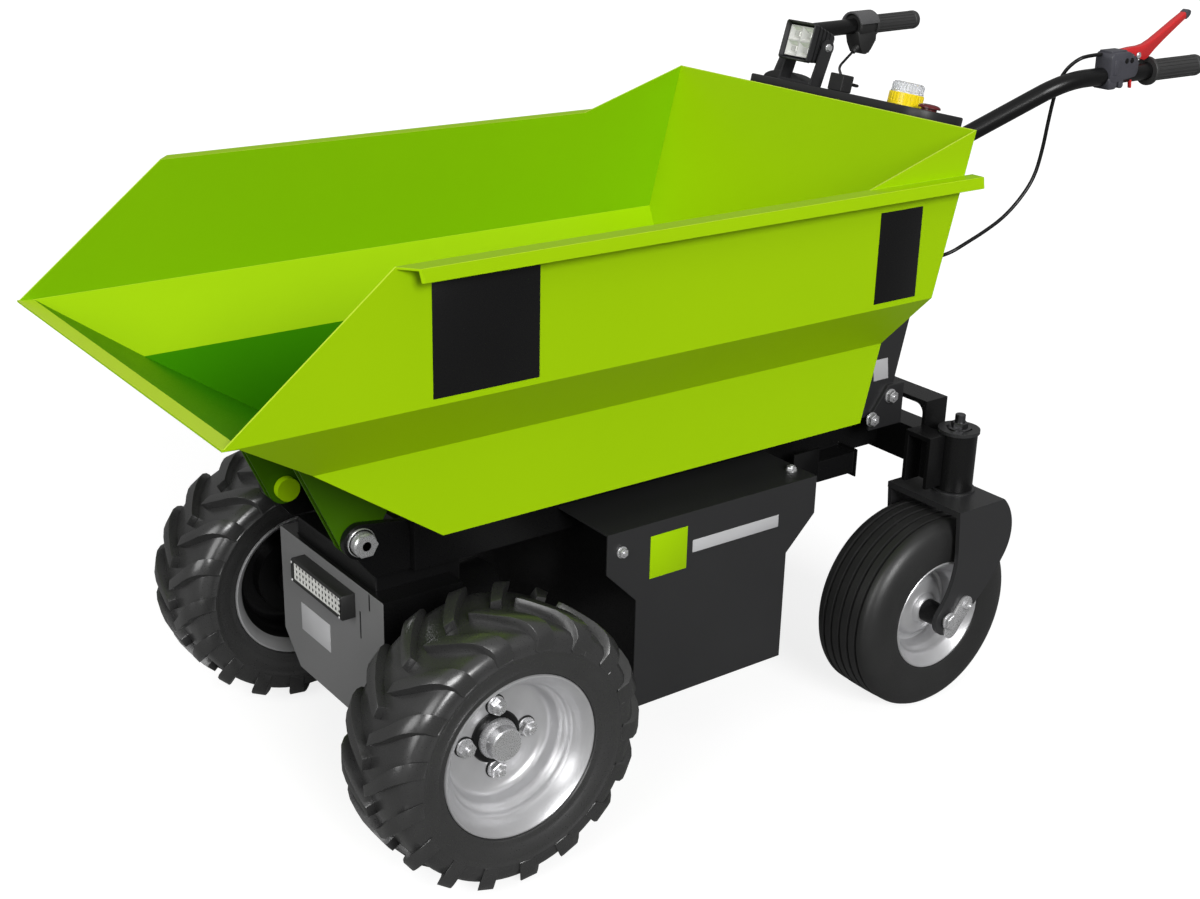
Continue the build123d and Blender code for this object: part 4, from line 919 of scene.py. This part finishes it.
def makeLever(look):
    across = (0, 1, 0)

    def slab(name, part, outline=None):
        return prism(name, sideOutline(outline or look[part]), across, *look["spans"][part])

    parts = [slab("lever_bracketCasting", "casting"), slab("bracketRidge", "ridge"), slab("bracketWeb", "web")]
    parts += [slab("bracketClamp", "clamps", clamp) for clamp in look["clamps"]]
    fit(joinUp(parts), "black_plastic", ("lever_bracket",), finish="greyCasting")
    fit(joinUp([slab("brake_leverArm", "lever"), slab("leverTab", "tab")]), "red_plastic", ("brake_lever",))
    fit(slab("brake_leverTip", "tip"), "rest_rubber", finish="greyCasting")
    # painted shade: thin dark discs on the casting stand for its two recesses
    recesses = [lathe("leverRecessShade", look["recess"], at(*place), across, 20) for place in look["recesses"]]
    fit(joinUp(recesses), "black_plastic", finish="frameBlackAndShade")
    fit(lathe("leverPin", look["pin"], at(*look["pinPlace"]), across, 20), "bolt_steel")


makeLever(leverParts)
print("lever and bracket made")

# Throttle: a clamp body, a glossy cover over it, and the box below with its cable nipple
throttleParts = {
    "start": (-1231, -311.9, 1010.1),
    "body": ((-23, 14.4), (-23, 20), (-20, 22.6), (12, 22.6), (17, 20.6), (23, 20), (23, 14.4)),
    # inner and outer radius, angles, ends along the bar
    "cover": (22.8, 27.4, 12, 168, -27, 24), "coverSteps": 12, "coverEdge": 1.4,
    "box": ((-1206, 1000), (-1214, 1006), (-1246, 1004), (-1256, 998), (-1256, 984), (-1244, 966), (-1232, 958),
            (-1222, 960), (-1212, 978)),
    "boxSpan": (-329, -293, 3), "ridges": ((-1252, 984), (-1245, 974), (-1238, 965)),
    "ridge": ((-5, -1), (-1, 3), (3, 0), (-1, -5)), "ridgeSpan": (-327, -295, 0.8),
    "nipple": ((-4, 0), (-4, 6), (6, 6), (7, 5), (13, 5), (14, 3.4), (14, 0)),
    "nippleRoot": (-1214.7, -301.9, 971.8), "nippleWay": (0.8, 0, -0.6),
}


def makeThrottle(look):
    axis = Vector((gripAxis.x, -gripAxis.y, gripAxis.z))
    start, across = at(*look["start"]), (0, 1, 0)
    parts = [lathe("throttleBody", look["body"], start, axis, 40),
             prism("throttleBox", sideOutline(look["box"]), across, *look["boxSpan"]),
             lathe("throttleNipple", look["nipple"], at(*look["nippleRoot"]), look["nippleWay"], 24)]
    for x, z in look["ridges"]:
        outline = sideOutline([(x + ahead, z + up) for ahead, up in look["ridge"]])
        parts.append(prism("throttleRidge", outline, across, *look["ridgeSpan"]))
    fit(joinUp(parts), "black_plastic", ("throttle",))
    inner, outer, first, last, low, high = look["cover"]
    side = axis.cross(Vector((0, 0, 1))).normalized()
    out = side.cross(axis)
    steps = look["coverSteps"]
    arc = [math.radians(first + (last - first) * step / steps) for step in range(steps + 1)]
    corners = [(reach, angle) for reach, angles in ((outer, arc), (inner, reversed(arc))) for angle in angles]
    points = [start + (side * math.cos(angle) + out * math.sin(angle)) * (reach / 1000) for reach, angle in corners]
    fit(prism("throttleCover", points, axis, low, high, look["coverEdge"]), "black_plastic", finish="glossCover")


makeThrottle(throttleParts)
print("throttle made")

# Bolts on the covers, the column and the tub's pivots
smallBolt = {"washer": 9, "hex": 8, "head": 5, "thread": 4, "stud": 2}
bolts = {
    "batteryCoverBolts": {"places": ((-248, 270, 399),), "axis": (0, 1, 0), "look": smallBolt},
    "batteryFlangeBolts": {"places": ((-608, 231, 431),), "axis": (0, 0, 1), "look": smallBolt},
    "columnBolts": {"places": ((-854, 196, 496), (-814, 196, 463)), "axis": (0, 1, 0),
                    "look": {"washer": 12, "hex": 10.5, "head": 8, "thread": 5, "stud": 3}},
}


def makeBolts(name, look):
    pieces = []
    for place in look["places"]:
        bolt = makeBolt(name, at(*place), look["axis"], look["look"])
        pieces += [bolt, mirrorAcross(bolt, name + "Twin")]
    fit(joinUp(pieces), "bolt_steel")


for name, look in bolts.items():
    makeBolts(name, look)

pivotHead = {"centre": (97, 133, 450), "profile": ((0, 0), (0, 21), (2.4, 21), (3, 20.2), (3, 17.8), (13, 17.8),
                                                   (15.6, 15.6), (15.6, 12.6), (12.6, 11.4), (12.6, 7.4), (17, 6.8),
                                                   (17, 0))}


def makePivotHeads(look):
    head = lathe("pivotHeads", look["profile"], at(*look["centre"]), steps=40)
    fit(joinUp([head, mirrorAcross(head, "pivotHeadTwin")]), "bolt_steel")


makePivotHeads(pivotHead)
print("bolts made")

# Blank plates, and dark strips of painted shade where the front cover is slotted
plainPlate = {"body": "chassis", "slot": "black_paint", "finish": "frameBlackAndShade", "way": (0, 1, 0), "thick": 0.8,
              "edge": 0.25}
pale = {"slot": "bolt_steel", "finish": "paleSteel"}
plates = {
    "tubPlate": {"body": "tub", "corners": ((105, 345, 870), (-50, 345, 870), (-50, 345, 724), (105, 345, 724))},
    "tubRearPlate": {"body": "tub",
                     "corners": ((-640, 345, 860), (-725, 345, 860), (-725, 345, 724), (-640, 345, 724))},
    "batteryPlate": {"slot": "green_paint", "finish": "green_paint",
                     "corners": ((-300, 270, 410), (-369, 270, 410), (-369, 270, 342), (-300, 270, 342))},
    "batteryStrip": {**pale, "corners": ((-380, 270, 384), (-550, 270, 384), (-550, 270, 364), (-380, 270, 364))},
    "frontPlate": {**pale, "way": (1, 0, 0), "corners": ((80, -96, 212), (80, -4, 212), (80, -4, 258), (80, -96, 258))},
    "columnPlate": {**pale, "corners": ((-812, 190, 562), (-846, 190, 562), (-851, 190, 526), (-818, 190, 526))},
    "railPlate": {"thick": 4.0, "corners": ((-660, 178, 428), (-716, 178, 428), (-716, 178, 374), (-660, 178, 374))},
    "coverSlotShadeLong": {"way": (1, 0, 0), "thick": 0.4,
                      "corners": ((80, 90, 279), (80, 93, 279), (80, 93, 322), (80, 90, 322))},
    "coverSlotShadeShort": {"way": (1, 0, 0), "thick": 0.4,
                       "corners": ((80, 118, 334), (80, 121, 334), (80, 121, 360), (80, 118, 360))},
}


def makePlate(name, look):
    corners = [at(*corner) for corner in look["corners"]]
    plate = prism(name, corners, look["way"], 0, look["thick"], look["edge"])
    fit(plate, look["slot"], finish=look["finish"], body=look["body"])


for name, look in plates.items():
    makePlate(name, {**plainPlate, **look})
print("plates made,", len(plates))

# Whatever is still shown from the CAD gets its finish
for node, piece in nodes.items():
    if not piece.hide_render:
        for slot in piece.material_slots:
            slot.material = finishes[finishOf.get(node, slotOf[node])]

# Floor, world and lamps
studio = {"floor": 40.0, "floorSeen": 0.34, "floorUnseen": 0.22, "glow": 0.80, "skyLow": 0.16, "skyHigh": 0.50,
          "lamps": ((2.45, (0.20, 0.88, 0.43), 25.0), (1.4, (0.88, 0.20, 0.42), 40.0))}


def addSeen(tree):  # one for rays that show the background itself
    path = tree.nodes.new("ShaderNodeLightPath")
    either = tree.nodes.new("ShaderNodeMath")
    either.operation = "MAXIMUM"
    tree.links.new(path.outputs["Is Camera Ray"], either.inputs[0])
    tree.links.new(path.outputs["Is Transmission Ray"], either.inputs[1])
    return either.outputs[0]


def makeFloor(look):
    deselect()
    bpy.ops.mesh.primitive_plane_add(size=look["floor"])
    floor = bpy.context.object
    floor.name = "studioFloor"
    material = bpy.data.materials.new("floorFinish")
    material.use_nodes = True
    tree = material.node_tree
    link = tree.links.new
    shader = tree.nodes["Principled BSDF"]
    setSockets(shader, {"Roughness": 1.0, "Specular IOR Level": 0.0, "Emission Color": (1, 1, 1, 1)})
    seen = addSeen(tree)
    tint = tree.nodes.new("ShaderNodeMix")
    tint.data_type = "RGBA"
    setSockets(tint, {6: (look["floorUnseen"],) * 3 + (1,), 7: (look["floorSeen"],) * 3 + (1,)})
    link(seen, tint.inputs[0])
    link(tint.outputs[2], shader.inputs["Base Color"])
    glow = tree.nodes.new("ShaderNodeMath")
    glow.operation = "MULTIPLY"
    glow.inputs[1].default_value = look["glow"]
    link(seen, glow.inputs[0])
    link(glow.outputs[0], shader.inputs["Emission Strength"])
    floor.data.materials.append(material)


def makeLight(look):
    world = bpy.data.worlds.new("studioWorld")
    bpy.context.scene.world = world
    world.use_nodes = True
    tree = world.node_tree
    link = tree.links.new
    sky = tree.nodes["Background"]
    sky.inputs["Color"].default_value = (1, 1, 1, 1)
    place = tree.nodes.new("ShaderNodeTexCoord")
    parts = tree.nodes.new("ShaderNodeSeparateXYZ")
    link(place.outputs["Generated"], parts.inputs["Vector"])
    height = tree.nodes.new("ShaderNodeMapRange")
    setSockets(height, {"To Min": look["skyLow"], "To Max": look["skyHigh"]})
    link(parts.outputs["Z"], height.inputs["Value"])
    level = tree.nodes.new("ShaderNodeMapRange")
    level.inputs["To Max"].default_value = 1.0
    link(addSeen(tree), level.inputs["Value"])
    link(height.outputs["Result"], level.inputs["To Min"])
    link(level.outputs["Result"], sky.inputs["Strength"])
    for power, way, size in look["lamps"]:
        bpy.ops.object.light_add(type="SUN", location=(0, 0, 4))
        lamp = bpy.context.object
        lamp.data.energy = power
        lamp.data.angle = math.radians(size)
        lamp.rotation_euler = Vector(way).to_track_quat("Z", "Y").to_euler()


makeFloor(studio)
makeLight(studio)
bpy.context.scene.view_settings.view_transform = "Standard"
print("studio lit")
